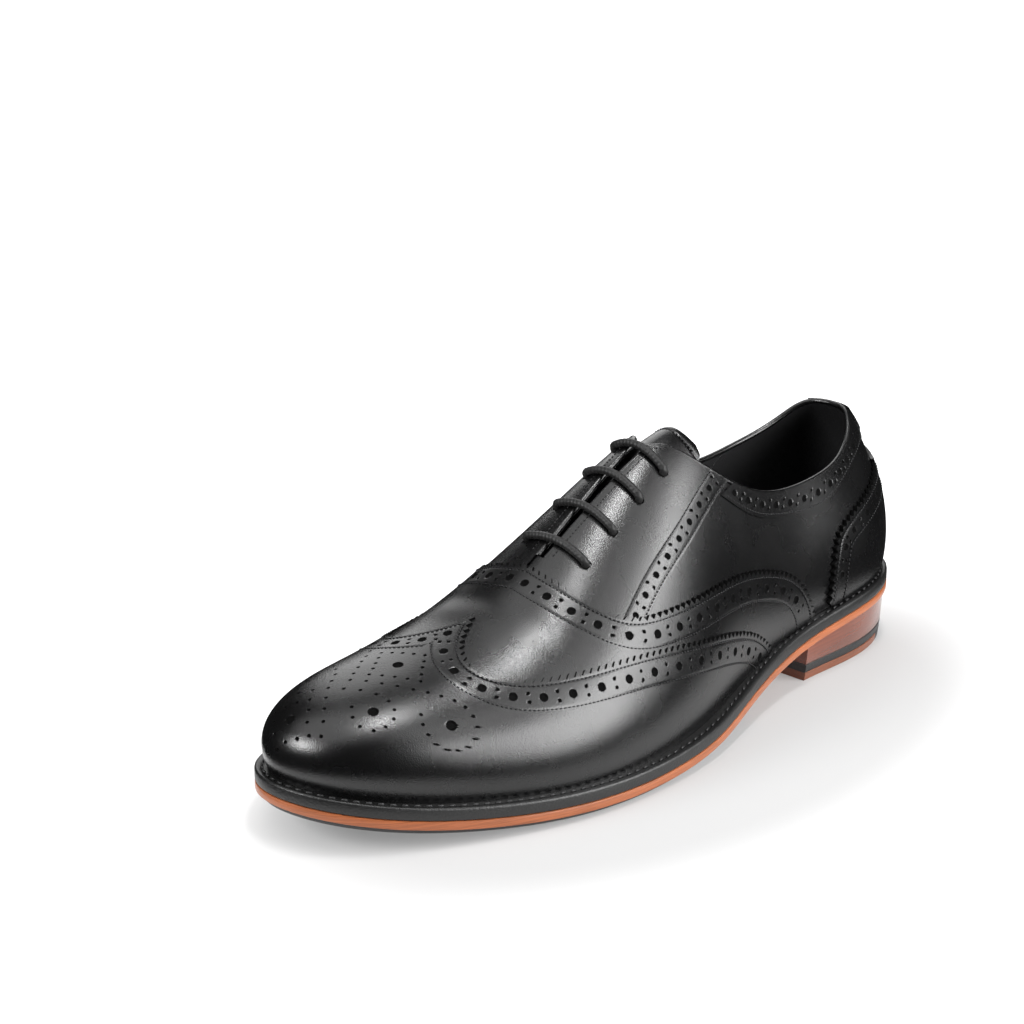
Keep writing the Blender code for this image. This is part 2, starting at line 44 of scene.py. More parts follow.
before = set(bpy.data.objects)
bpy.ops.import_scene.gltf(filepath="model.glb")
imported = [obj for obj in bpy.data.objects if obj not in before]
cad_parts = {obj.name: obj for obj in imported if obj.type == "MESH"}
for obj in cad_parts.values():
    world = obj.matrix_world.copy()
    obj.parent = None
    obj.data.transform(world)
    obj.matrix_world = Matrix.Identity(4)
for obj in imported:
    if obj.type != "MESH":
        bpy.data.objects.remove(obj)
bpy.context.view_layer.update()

MM = 0.001
GAP = 0.3

# Sole's edge seen from above: lateral side from heel to toe, then medial side back (x, y)
SOLE_LATERAL = ((0, 0), (6, 21), (34, 37), (75, 39), (115, 46.5), (150, 57),
                (190, 60.5), (225, 55.5), (260, 42), (284, 27.5), (297, 13))
SOLE_MEDIAL = ((302, -4), (297, -20), (279, -35), (250, -44.5), (215, -48), (180, -44),
               (145, -36.5), (112, -32), (75, -31), (34, -32), (6, -19))
# Underside of the tan layer: heel seat, arch, ball and toe spring (x, z)
TREAD = ((0, 19.1), (40, 18.2), (70, 15), (95, 11.2), (120, 7.5), (150, 3.8),
         (178, 2.1), (205, 2.0), (240, 3.6), (275, 7.8), (302, 13.2))
# How far the welt stands out from the upper (x, width)
WELT_WIDTH = ((0, 3.0), (40, 3.6), (75, 3.8), (115, 6.1), (150, 7.2), (200, 6.0), (260, 6.5), (302, 6.5))
# Top line of the last from the heel over the instep to the toe (x, z)
RIDGE = ((0, 106), (40, 105), (70, 106), (100, 107.5), (120, 106), (140, 99.5), (160, 89.5),
         (183, 76), (200, 65.5), (216, 57.5), (235, 51.5), (255, 48), (275, 45.5))
# Middle of the last seen from above (x, y)
CENTRE = ((0, 0), (75, 3), (150, 6), (200, 6), (252, -1), (302, -4))
# Sections: x, lift of the wall, spread of the brow on the lateral and the medial side, lean outwards
SECTION = ((0, 0.45, 0.60, 0.60, 8), (12, 0.45, 0.40, 0.40, 8), (30, 0.45, 0.22, 0.22, 7),
           (50, 0.45, 0.28, 0.28, 6), (75, 0.43, 0.40, 0.40, 5), (100, 0.42, 0.47, 0.55, 5),
           (150, 0.42, 0.48, 0.66, 5), (185, 0.45, 0.50, 0.62, 5), (215, 0.52, 0.58, 0.60, 5),
           (255, 0.60, 0.64, 0.64, 6), (285, 0.68, 0.70, 0.70, 9), (302, 0.72, 0.72, 0.72, 10))
# Collar's height at the sections from the heel to the top of the throat (x, z)
COLLAR = ((0, 90.5), (10, 88), (20, 84), (40, 77.5), (60, 74.5), (80, 74.5), (100, 80),
          (116, 90), (125, 97), (130, 100.5), (135, 101), (140, 99.5))
# Lines on the leather: girth and x
WING_EDGE = ((0, 217), (0.07, 227), (0.16, 234), (0.25, 236), (0.34, 233), (0.41, 227), (0.475, 216),
             (0.58, 191), (0.73, 151), (0.88, 112), (1.0, 97))
VAMP_EDGE = ((0, 193), (0.09, 193.5), (0.18, 193), (0.29, 191), (0.39, 187), (0.47, 181.5), (0.535, 172),
             (0.58, 160), (0.62, 146), (0.693, 113), (0.782, 86.5), (0.85, 77.5), (1.0, 69))
COUNTER_EDGE = ((0.0, 5.5), (0.3, 5.5), (0.5, 5.5), (0.6, 7), (0.66, 25), (0.72, 48), (0.79, 57),
                (0.9, 60), (1.0, 61))
# Rear edge of the facing and lower edge of the collar band: x and girth
FACING_EDGE = ((106, 0.398), (118, 0.425), (137, 0.466), (153.5, 0.489), (163, 0.508), (174, 0.545),
               (184, 0.585))
BAND_EDGE = ((5, 0.486), (20, 0.525), (41, 0.585), (57, 0.633), (70, 0.633), (85, 0.605), (99, 0.562),
             (108, 0.51), (117, 0.432))

TAN_THICK = 3.3
WELT_THICK = 4.7
HALF_SOLE_THICK = 2.2
HALF_SOLE_BACK = 118.0
HALF_SOLE_TAPER = 30.0
HALF_SOLE_INSET = 1.0
HALF_SOLE_SLOPE = 2.5
INSOLE_THICK = 5.5
WALL = 2.2
TOE_AXIS = 252.0
HEEL_AXIS = 40.0
AXIS_BLEND = 9.0
THROAT_LOW = 188.0
THROAT_HIGH = 139.0
THROAT_GAP_LOW = 2.0
THROAT_GAP_HIGH = 3.5
HEEL_BREAST = 75.0
HEEL_INSET = 1.2
LIFT_TOP = 3.2
RUBBER_TOP = 6.6
CORNER_FRONT = 24.0
EYELET_X = (182.0, 167.4, 152.4, 138.2)
EYELET_LATERAL = 0.215
EYELET_MEDIAL = 0.15
EYELET_RADIUS = 1.9
EYELET_DEPTH = 1.4
TONGUE_TOP = 117.0
TONGUE_LOW = 186.0
TONGUE_SWEEP = 3.0
TONGUE_THICK = 2.0
TONGUE_CLEAR = 1.4
TONGUE_GIRTH = ((117, 0.22), (118, 0.27), (121, 0.30), (135, 0.32), (186, 0.31))

# Height of each leather above the last
QUARTER_LEVEL = -0.6
FACING_LEVEL = 0.1
VAMP_LEVEL = 1.0
COUNTER_LEVEL = 1.0
WING_LEVEL = 1.8

# Brogue strips of the wing cap and the vamp: width, width up to which the sheet behind them laps,
# seams, row of large holes and rows of small ones, all from the gimped edge
STRIP_END = 11.5
STRIP_LAP = 11.2
STRIP_SEAMS = (2.3, 10.8)
STRIP_HOLES = 6.5
STRIP_PAIRS = (5.0, 8.0)
STRIP_THICK = 1.2
# Pitch of the large holes over the distance from the ridge, along the wing cap's edge and the vamp's
WING_PITCH = ((0, 9.5), (27, 7.0), (45, 9.0), (75, 11.5), (110, 13.0))
VAMP_PITCH = ((0, 10.0), (28, 8.5), (46, 10.0), (75, 11.5), (110, 13.0))
# Medallion on the toe: its middle, how far points below it are pushed out, its turn and skew,
# how its axis bends along the toe, and the radius of its large holes
MEDALLION_AT = (250.8, 1.1, 47.0)
MEDALLION_FALL = 0.8
MEDALLION_TURN = -18.0
MEDALLION_SKEW = -0.12
MEDALLION_RADIUS = 1.9
MEDALLION_BEND = ((-10, 1.4), (10, 1.6), (18, 0.5), (27, 0.0), (35, 1.5), (47, 5.6), (60, 10.0))
# Its holes as (forward, side): large ones, then rows of small ones, each row repeated on the other side.
# A row is the number of its steps and the corners of its line.
MEDALLION_BIG = ((1, 0), (-0.5, 36), (23, 21.5), (47.5, 0))
MEDALLION_ROWS = ((4, ((11.5, 0), (0, 12))),
                  (4, ((0, 12), (-9, 0))),
                  (18, ((18, 0), (9.5, 9.5), (0, 18.5), (-6.5, 25.5), (-9.5, 30), (-11, 35), (-11, 40),
                        (-8, 44), (-3.5, 46.5), (3, 46.5), (8.5, 43), (10.5, 38.5), (10.5, 33), (8.5, 28))),
                  (11, ((26.5, 0), (19.5, 7), (15, 15), (15, 21), (17.5, 26.5), (22.5, 30), (27.5, 31),
                        (31.5, 26.5), (31, 20.5), (27.5, 15.5))),
                  (3, ((31, 4.5), (35.5, 9.5), (40, 13.5), (45, 17))),
                  (6, ((35.5, 0), (39.5, 4), (44, 8), (48, 12.5), (52, 8), (56.5, 3), (60, 0))))

FINE = 4000
# Floor in metres: half axes of the part that shows in the leather's gloss and of the patch of painted
# shade, the patch's shift to the lateral side, the floor's radius, and the glow left in the patch
FLOOR_NEAR = (0.185, 0.11)
FLOOR_SHADE = (0.23, 0.13)
FLOOR_SHIFT = 0.02
FLOOR_FAR = 6.0
FLOOR_GLOW = 0.25
CAMERA_FROM = (806.0, 590.0, 389.0)
CAMERA_AT = (195.3, 0.0, 89.0)
CAMERA_LENS = 92.3
# Soft boxes: name, turn from the toe's direction and rise in degrees, distance, size in metres, power
SOFT_BOXES = (("side_box", 110.0, 18.0, 1.2, (0.9, 0.8), 17.0),
              ("quarter_box", 132.0, 36.0, 1.3, (0.35, 0.4), 3.0),
              ("rim_box", 110.0, 54.0, 1.3, (0.9, 0.5), 2.4),
              ("toe_box", -18.0, 31.0, 1.3, (0.55, 0.45), 10.0),
              ("back_box", -134.0, 26.0, 1.4, (0.9, 1.1), 5.0),
              ("top_box", 130.0, 84.0, 1.4, (0.4, 0.14), 6.0))


def length(name, text, size):
    """A size in metres for the panel, given in millimetres."""
    return bpy.props.FloatProperty(name=name, description=text, default=size * MM, min=0.0,
                                   precision=5, unit="LENGTH")


def tint(name, text, colour):
    """A colour for the panel."""
    return bpy.props.FloatVectorProperty(name=name, description=text, default=colour, size=3,
                                         min=0.0, max=1.0, subtype="COLOR")


class OxfordSizes(bpy.types.PropertyGroup):
    """Sizes of the broguing, the stitches and the laces."""
    tooth_pitch: length("Tooth pitch", "Step of the gimped edges", 3.0)
    tooth_depth: length("Tooth depth", "Depth of the gimped edges", 1.9)
    hole_pitch: length("Hole pitch", "Step of the large brogue holes", 12.0)
    facing_pitch: length("Facing hole pitch", "Step of the holes on the facings and the collar", 9.0)
    hole_radius: length("Large hole", "Radius of the large brogue holes", 1.6)
    facing_radius: length("Facing hole", "Radius of the holes on the facings and the collar", 1.3)
    pin_radius: length("Small hole", "Radius of the small brogue holes", 0.68)
    hole_depth: length("Hole depth", "Depth of the brogue holes", 0.6)
    stitch_pitch: length("Stitch pitch", "Step of the seams' stitches", 1.6)
    stitch_radius: length("Stitch thread", "Radius of the seams' thread", 0.24)
    welt_pitch: length("Welt stitch pitch", "Step of the welt's stitches", 4.0)
    lace_radius: length("Lace", "Radius of the lace", 1.4)
    bead_radius: length("Collar bead", "Radius of the rolled collar edge", 1.15)


class OxfordColours(bpy.types.PropertyGroup):
    """Colours of the leathers, the soles and the lace."""
    leather: tint("Leather", "Upper leather", (0.0022, 0.0022, 0.0024))
    lining: tint("Lining", "Lining and insole", (0.011, 0.011, 0.012))
    thread: tint("Thread", "Stitches of the upper", (0.012, 0.012, 0.013))
    welt: tint("Welt", "Welt and edge", (0.006, 0.006, 0.006))
    welt_thread: tint("Welt thread", "Stitches of the welt", (0.025, 0.025, 0.026))
    tan: tint("Tan", "Tan sole layer", (0.38, 0.11, 0.036))
    lift: tint("Lift", "Heel lift", (0.2, 0.06, 0.025))
    mahogany: tint("Mahogany", "Heel stack", (0.16, 0.036, 0.014))
    rubber: tint("Rubber", "Thin sole and black heel layer", (0.012, 0.012, 0.012))
    lace: tint("Lace", "Lace", (0.014, 0.014, 0.014))


def spline(knots, values, closed=False):
    """Cubic spline through rows of values, with natural ends or as a closed loop.

    The second derivatives at the knots come from one linear system."""
    k = np.asarray(knots, float)
    v = np.asarray(values, float).reshape(len(k), -1)
    n = len(k)
    h = np.diff(k)
    slope = np.diff(v, axis=0) / h[:, None]
    system = np.zeros((n, n))
    right = np.zeros_like(v)
    for i in range(1, n - 1):
        system[i, i - 1:i + 2] = h[i - 1], 2 * (h[i - 1] + h[i]), h[i]
        right[i] = 6 * (slope[i] - slope[i - 1])
    system[0, 0] = 1
    system[-1, -1] = 1
    if closed:
        system[0, 0] = 2 * (h[0] + h[-1])
        system[0, 1] = h[0]
        system[0, n - 2] = h[-1]
        right[0] = 6 * (slope[0] - slope[-1])
        system[-1, 0] = -1
    bend = np.linalg.solve(system, right)

    def value(x):
        x = np.clip(np.asarray(x, float), k[0], k[-1])
        i = np.clip(np.searchsorted(k, x, side="right") - 1, 0, n - 2)
        a = (x - k[i])[..., None]
        b = (k[i + 1] - x)[..., None]
        c = h[i][..., None]
        curve = (bend[i] * b ** 3 + bend[i + 1] * a ** 3) / (6 * c)
        chord = (v[i] / c - bend[i] * c / 6) * b + (v[i + 1] / c - bend[i + 1] * c / 6) * a
        total = curve + chord
        return total[..., 0] if total.shape[-1] == 1 else total
    return value


def profile(table, column=1):
    """Smooth curve of one column of a table over its first column."""
    rows = np.array(table, float)
    return spline(rows[:, 0], rows[:, column])


tread = profile(TREAD)
welt_width = profile(WELT_WIDTH)
ridge = profile(RIDGE)
centre = profile(CENTRE)
collar = profile(COLLAR)
lift = profile(SECTION, 1)
spread_lateral = profile(SECTION, 2)
spread_medial = profile(SECTION, 3)
lean = profile(SECTION, 4)


def edge_loop():
    """Points of the sole's edge at even steps round the shoe, from the heel's back by the lateral side."""
    points = np.array(SOLE_LATERAL + SOLE_MEDIAL + SOLE_LATERAL[:1], float)
    knots = np.r_[0, np.cumsum(np.sqrt(np.linalg.norm(np.diff(points, axis=0), axis=1)))]
    fine = spline(knots, points, closed=True)(np.linspace(0, knots[-1], FINE + 1))
    run = run_length(fine)
    at = np.linspace(0, run[-1], FINE, endpoint=False)
    return points_at(fine, run, at)


def run_length(points):
    """Length from the start of a polyline to each of its points."""
    return np.r_[0, np.cumsum(np.linalg.norm(np.diff(points, axis=0), axis=1))]


def points_at(points, run, at):
    """Points of a polyline at given lengths, by straight interpolation over its own run."""
    return np.stack([np.interp(at, run, column) for column in points.T], -1)


def even_points(points, count):
    """A polyline's points at equal steps."""
    run = run_length(points)
    return points_at(points, run, np.linspace(0, run[-1], count))


EDGE = edge_loop()
ORIGIN = np.array([(EDGE[:, 0].min() + EDGE[:, 0].max()) / 2,
                   (EDGE[:, 1].min() + EDGE[:, 1].max()) / 2, 0.0])


def branches(inset):
    """The sole's edge moved in: its lateral and its medial branch, both from heel to toe, as x and y."""
    run = np.roll(EDGE, -1, axis=0) - np.roll(EDGE, 1, axis=0)
    run /= np.linalg.norm(run, axis=1, keepdims=True)
    inward = np.stack([run[:, 1], -run[:, 0]], -1)
    loop = EDGE + inward * np.reshape(inset(EDGE[:, 0]), (-1, 1))
    loop = np.roll(loop, -int(np.argmin(loop[:, 0])), axis=0)
    toe = int(np.argmax(loop[:, 0]))
    return loop[:toe + 1], np.r_[loop[toe:], loop[:1]][::-1]


def medial_at(lateral, medial):
    """y of the medial branch at the x of the lateral one; the branches meet at heel and toe."""
    y = np.interp(lateral[:, 0], np.maximum.accumulate(medial[:, 0]), medial[:, 1])
    y[0] = lateral[0, 1]
    y[-1] = lateral[-1, 1]
    return y


FEATHER, FEATHER_MEDIAL = branches(welt_width)
SIDE_X, LATERAL_Y = FEATHER.T
MEDIAL_Y = medial_at(FEATHER, FEATHER_MEDIAL)
SIDE_W = run_length(FEATHER) / run_length(FEATHER)[-1]


def station(x):
    """Station (0 heel, 1 toe) of the section whose base lies at x."""
    return np.interp(x, SIDE_X, SIDE_W)


def base_x(w):
    """x of the base of the section at a station."""
    return np.interp(w, SIDE_W, SIDE_X)


def spine_x(x):
    """x where a section meets the ridge: its own, but fanned round the heel's and the toe's axis."""
    toe = np.logaddexp(0, (x - TOE_AXIS) / AXIS_BLEND)
    heel = np.logaddexp(0, (HEEL_AXIS - x) / AXIS_BLEND)
    return x + AXIS_BLEND * (heel - toe)


def last(w, g):
    """Point of the last at a station and a girth.

    Each section is a cubic Bezier curve that leans out from the feather edge and comes level at the
    ridge."""
    w, g = np.broadcast_arrays(np.asarray(w, float), np.asarray(g, float))
    x = base_x(w)
    y = np.where(g >= 0, np.interp(w, SIDE_W, LATERAL_Y), np.interp(w, SIDE_W, MEDIAL_Y))
    cx = spine_x(x)
    cy = centre(cx)
    low = tread(x) + TAN_THICK + WELT_THICK + GAP
    high = ridge(cx)
    slope = ridge(cx + 0.5) - ridge(cx - 0.5)
    reach = np.hypot(x - cx, y - cy)
    ux = (x - cx) / reach
    uy = (y - cy) / reach
    out = lean(x)
    arm = np.where(g >= 0, spread_lateral(x), spread_medial(x)) * reach
    foot = np.stack([x, y, low], -1)
    wall = np.stack([x + ux * out, y + uy * out, low + lift(x) * (high - low)], -1)
    brow = np.stack([cx + ux * arm, cy + uy * arm, high + slope * ux * arm], -1)
    crown = np.stack([cx, cy, high], -1)
    t = (1 - np.abs(g))[..., None]
    return foot * (1 - t) ** 3 + 3 * wall * t * (1 - t) ** 2 + 3 * brow * t ** 2 * (1 - t) + crown * t ** 3


def unit(vectors):
    """Vectors scaled to length one."""
    return vectors / np.maximum(np.linalg.norm(vectors, axis=-1, keepdims=True), 1e-12)


def slopes(w, g):
    """Change of the last's point with the station and with the girth, from small steps."""
    step = 0.002
    ahead, behind = np.clip(w + step, 0, 1), np.clip(w - step, 0, 1)
    up, down = np.clip(g + step, -1, 1), np.clip(g - step, -1, 1)
    along = (last(ahead, g) - last(behind, g)) / (ahead - behind)[..., None]
    round_ = (last(w, up) - last(w, down)) / (up - down)[..., None]
    return along, round_


def normal_at(w, g):
    """Outward normal of the last; on the heel's and the toe's middle line both sides share it."""
    w, g = np.broadcast_arrays(np.asarray(w, float), np.asarray(g, float))
    normal = unit(np.cross(*slopes(w, g)))
    ends = ((w < 1e-9) | (w > 1 - 1e-9))[..., None]
    other = unit(np.cross(*slopes(w, -g)))
    return np.where(ends, unit(normal + other), normal)


def skin(w, g, level):
    """Point at a height over the last."""
    return last(w, g) + normal_at(w, g) * np.asarray(level, float)[..., None]


def sheet_on_last(w, g, level):
    """Grid of leather at a height over the last: points, their normals and the faces turned outwards."""
    normals = normal_at(w, g).reshape(-1, 3)
    points = last(w, g).reshape(-1, 3) + normals * np.reshape(level, (-1, 1))
    return points, normals, facing_out(points, grid_faces(*w.shape), normals)


def girth_at(w, side, measure, target):
    """Girth at which the measure of a section's points falls to the target, found by halving."""
    low = np.zeros_like(w)
    high = np.ones_like(w)
    for _ in range(30):
        mid = (low + high) / 2
        over = measure(last(w, side * mid)) > target
        low = np.where(over, mid, low)
        high = np.where(over, high, mid)
    return (low + high) / 2


def top_girth(w, side):
    """Girth of the upper's top edge: 0 on the closed forefoot, else the throat's edge or the collar's."""
    x = base_x(w)
    cx = spine_x(x)
    gap = np.interp(x, (THROAT_HIGH, THROAT_LOW), (THROAT_GAP_HIGH, THROAT_GAP_LOW))
    throat = girth_at(w, side, lambda p: -np.hypot(p[..., 0] - cx, p[..., 1] - centre(cx)), -gap)
    rim = girth_at(w, side, lambda p: p[..., 2], collar(x))
    top = np.where(x < THROAT_HIGH + 1, np.maximum(throat, rim), throat)
    return np.where(x > THROAT_LOW, 0.0, top)


def grid_faces(rows, columns, wrap=False):
    """Quads of a grid of points stored row by row; wrapped grids close along the rows."""
    index = np.arange(rows * columns).reshape(rows, columns)
    if wrap:
        index = np.concatenate([index, index[:, :1]], axis=1)
    return np.stack([index[:-1, :-1], index[:-1, 1:], index[1:, 1:], index[1:, :-1]], -1).reshape(-1, 4)


def facing_out(points, faces, normals):
    """The faces, all turned round if they look against the normals given for the points."""
    corner = points[faces]
    look = np.cross(corner[:, 2] - corner[:, 0], corner[:, 3] - corner[:, 1])
    if np.sum(look * normals[faces[:, 0]]) < 0:
        return faces[:, ::-1]
    return faces


def solid_out(points, faces):
    """The faces of a closed form, all turned round if its signed volume is negative."""
    corner = points[faces] - points.mean(axis=0)
    first = np.einsum("ij,ij->i", corner[:, 0], np.cross(corner[:, 1], corner[:, 2]))
    second = np.einsum("ij,ij->i", corner[:, 0], np.cross(corner[:, 2], corner[:, 3]))
    if np.sum(first + second) < 0:
        return faces[:, ::-1]
    return faces


def join(parts):
    """Several (points, faces) as one pair, the faces renumbered."""
    starts = np.cumsum([0] + [len(points) for points, _ in parts[:-1]])
    points = np.concatenate([points for points, _ in parts])
    faces = np.concatenate([faces + start for (_, faces), start in zip(parts, starts)])
    return points, faces


def add_piece(name, points, faces, material, slot, nodes=(), sharp=None, marks=None, uv=None, weld=0.02):
    """One object from points in millimetres and quads: doubles merged, shaded smooth, set on the frame.

    marks is 1 for the faces of punched holes and of the painted shadow line under gimped teeth; uv has two
    values for each point."""
    place = (np.asarray(points) - ORIGIN) * MM
    mesh = bpy.data.meshes.new(name)
    mesh.from_pydata(place.tolist(), [], faces.tolist())
    mesh.materials.append(material)
    if marks is not None:
        mesh.materials.append(hole_and_shadow_line_material())
        mesh.polygons.foreach_set("material_index", np.asarray(marks, np.int32))
    if uv is not None:
        layer = mesh.uv_layers.new(name="UVMap")
        layer.data.foreach_set("uv", uv[faces.reshape(-1)].astype(np.float32).reshape(-1))
    shape = bmesh.new()
    shape.from_mesh(mesh)
    if weld:
        bmesh.ops.remove_doubles(shape, verts=shape.verts, dist=weld * MM)
        bmesh.ops.dissolve_degenerate(shape, edges=shape.edges, dist=0.002 * MM)
    shape.to_mesh(mesh)
    shape.free()
    mesh.shade_smooth()
    if sharp:
        mesh.set_sharp_from_angle(angle=math.radians(sharp))
    item = bpy.data.objects.new(name, mesh)
    bpy.context.scene.collection.objects.link(item)
    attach(item, "root")
    if nodes:
        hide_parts(*nodes)
    return item


def turn_outwards(item):
    """A closed piece's faces all turned outwards."""
    shape = bmesh.new()
    shape.from_mesh(item.data)
    bmesh.ops.recalc_face_normals(shape, faces=shape.faces)
    shape.to_mesh(item.data)
    shape.free()


class Line:
    """A line on the leather, sampled at even steps: stations, girths, and the way across it."""

    def __init__(self, w, g, step, forward):
        points = last(w, g)
        run = run_length(points)
        count = int(round(run[-1] / step))
        self.at = np.linspace(0, run[-1], count + 1)
        self.w = np.interp(self.at, run, w)
        self.g = np.interp(self.at, run, g)
        self.place = last(self.w, self.g)
        self.normal = normal_at(self.w, self.g)
        self.tangent = unit(np.gradient(self.place, axis=0))
        across = unit(np.cross(self.normal, self.tangent))
        along, _ = slopes(self.w, self.g)
        middle = len(across) // 2
        if np.sum(across[middle] * along[middle]) * forward < 0:
            across = -across
        self.across = across

    def walk(self, widths):
        """Stations and girths reached by walking across the line on the leather, for each width in order.

        Each step solves the chart's slopes for a move along the tangent plane. The walk stops at the
        ridge and at the middle of the heel."""
        side = np.sign(self.g)
        found_w, found_g = [], []
        w, g, way = self.w.copy(), self.g.copy(), self.across.copy()
        done = 0.0
        for width in widths:
            steps = max(1, int(math.ceil(abs(width - done))))
            for _ in range(steps):
                move = (width - done) / steps
                along, round_ = slopes(w, g)
                flat = unit(np.cross(along, round_))
                way = unit(way - flat * np.sum(way * flat, -1, keepdims=True))
                aa, bb = np.sum(along * along, -1), np.sum(round_ * round_, -1)
                ab = np.sum(along * round_, -1)
                pa, pb = np.sum(along * way, -1) * move, np.sum(round_ * way, -1) * move
                fixed = np.maximum(aa * bb - ab * ab, 1e-9)
                w = np.clip(w + (pa * bb - pb * ab) / fixed, 0, 1)
                g = np.clip(g + (pb * aa - pa * ab) / fixed, -1, 1)
                g = np.where(g * side < 0, 0, g)
            done = width
            found_w.append(w.copy())
            found_g.append(g.copy())
        return np.array(found_w), np.array(found_g)


class Band:
    """A strip of leather beside a line, with flat coordinates: run along the line and width across it."""

    def __init__(self, line, width):
        self.line = line
        out_w, out_g = line.walk([-1.0])
        in_w, in_g = line.walk(list(np.arange(0, width + 1.5)))
        self.widths = np.r_[-1.0, np.arange(0, width + 1.5)]
        self.table = np.stack([np.concatenate([out_w, in_w]), np.concatenate([out_g, in_g])], -1)

    def chart(self, run, width):
        """Station and girth at a run and a width, by straight interpolation of the walked table."""
        i = np.interp(run, self.line.at, np.arange(len(self.line.at)))
        j = np.interp(width, self.widths, np.arange(len(self.widths)))
        i0 = np.clip(i.astype(int), 0, len(self.line.at) - 2)
        j0 = np.clip(j.astype(int), 0, len(self.widths) - 2)
        fi, fj = (i - i0)[..., None], (j - j0)[..., None]
        t = self.table
        low = t[j0, i0] * (1 - fi) + t[j0, i0 + 1] * fi
        high = t[j0 + 1, i0] * (1 - fi) + t[j0 + 1, i0 + 1] * fi
        both = low * (1 - fj) + high * fj
        return both[..., 0], both[..., 1]


def punch(points, normals, holes, radii, depth):
    """Points with round holes pressed in: those near a rim move onto it, those inside drop to the floor.

    Returns the moved points and, for each point, 2 inside a hole, 1 on a rim and 0 elsewhere."""
    moved = points.copy()
    kind = np.zeros(len(points), int)
    for hole, radius in zip(holes, radii):
        near = min(0.3, 0.35 * radius)
        close = np.flatnonzero(np.abs(points - hole).max(axis=1) < radius + 1.0)
        if not len(close):
            continue
        away = points[close] - hole
        turn = normals[close]
        away -= turn * np.sum(away * turn, -1, keepdims=True)
        reach = np.maximum(np.linalg.norm(away, axis=-1), 1e-6)
        rim = np.abs(reach - radius) < near
        inside = reach <= radius - near
        onto = close[rim]
        moved[onto] += away[rim] * (radius / reach[rim] - 1)[:, None]
        kind[onto] = np.maximum(kind[onto], 1)
        fall = close[inside]
        shrink = np.minimum(1, (radius - 0.15) / reach[inside]) - 1
        moved[fall] += away[inside] * shrink[:, None] - turn[inside] * depth
        kind[fall] = 2
    return moved, kind


def hole_marks(faces, kind):
    """1 for the faces of a hole, which have a corner on its floor."""
    return (kind[faces].max(axis=1) == 2).astype(int)


def groove(width, lines, depth=0.16, half=0.45):
    """Depth of the seams pressed in along a strip: a soft trough at each stitch line."""
    return -depth * sum(np.exp(-((width - line) / half) ** 2) for line in lines)


def hole_runs(pitch, first, middle, end, margin=6.0):
    """Runs of a strip's large holes and of the pairs between them, both ways from its middle.

    pitch is a table over the distance from the middle. A hole lies at the first distance, and again
    each time the sum of one over the pitch has grown by one."""
    away = np.linspace(0, end, 3000)
    count = np.r_[0, np.cumsum(np.diff(away) / np.interp(away[1:], *np.array(pitch).T))]
    count -= np.interp(first, away, count)
    sets = []
    for offset in (0, 0.5):
        at = np.interp(np.arange(0, count[-1] - offset) + offset, count, away)
        runs = np.r_[middle - at[::-1], middle + at]
        sets.append(runs[(runs > margin) & (runs < end - margin)])
    return sets


def gimped_strip(band, end, level, thick, seams, sizes, phase, holes_at, pairs_at, holes, hole_radius,
                 gimped=True, rim_side=0):
    """Strip with a gimped edge, seams and brogue holes.

    The grid has fine square cells in run and width. The first row follows the teeth and a skirt drops from
    it, marked dark as a painted shadow line round the teeth. Returns points, faces and marks."""
    step = 0.4
    run = np.arange(0, band.line.at[-1] + step / 2, step)
    pitch = sizes.tooth_pitch / MM
    teeth = np.abs(((run - phase) / pitch) % 1 - 0.5) * 2 * sizes.tooth_depth / MM - 0.4
    edge = teeth if gimped else np.zeros_like(run)
    flare = 0.5 if gimped else 0.0
    widths = np.arange(1.5, end + step / 2, step)
    rows = [edge - flare, edge, edge * 0.45 + 1.5 * 0.55] + [np.full_like(run, value) for value in widths]
    drops = [-thick, 0.0, 0.0] + [0.0] * len(widths)
    width = np.array(rows)
    runs = np.broadcast_to(run, width.shape)
    w, g = band.chart(runs, width)
    if rim_side:
        g = rim_side * np.maximum(np.abs(g), top_girth(w, rim_side) + 0.002)
    normals = normal_at(w, g)
    height = level + np.array(drops)[:, None] + groove(width, seams)
    height[-1] -= 0.2
    points = (last(w, g) + normals * height[..., None]).reshape(-1, 3)
    flat = normals.reshape(-1, 3)
    big, small = holes
    hole_run = np.r_[big, small, small]
    hole_width = np.r_[np.full(len(big), holes_at), np.full(len(small), pairs_at[0]),
                       np.full(len(small), pairs_at[1])]
    radii = np.r_[np.full(len(big), hole_radius / MM), np.full(2 * len(small), sizes.pin_radius / MM)]
    hw, hg = band.chart(hole_run, hole_width)
    keep = np.abs(hg) > 1e-4
    holes = skin(hw, hg, np.full(hw.shape, level))[keep]
    points, kind = punch(points, flat, holes, radii[keep], sizes.hole_depth / MM)
    faces = facing_out(points, grid_faces(*width.shape), flat)
    marks = hole_marks(faces, kind)
    # The skirt's faces take the dark hole material: a painted shadow line round the teeth.
    if gimped:
        marks[:len(run) - 1] = 1
    return points, faces, marks


def stitches(w, g, level, sizes):
    """Thread of a seam along a line on the leather, in the panel's sizes."""
    points = skin(w, g, np.full(np.shape(w), level))
    return thread_along(points, normal_at(w, g), sizes.stitch_pitch / MM, sizes.stitch_radius / MM)


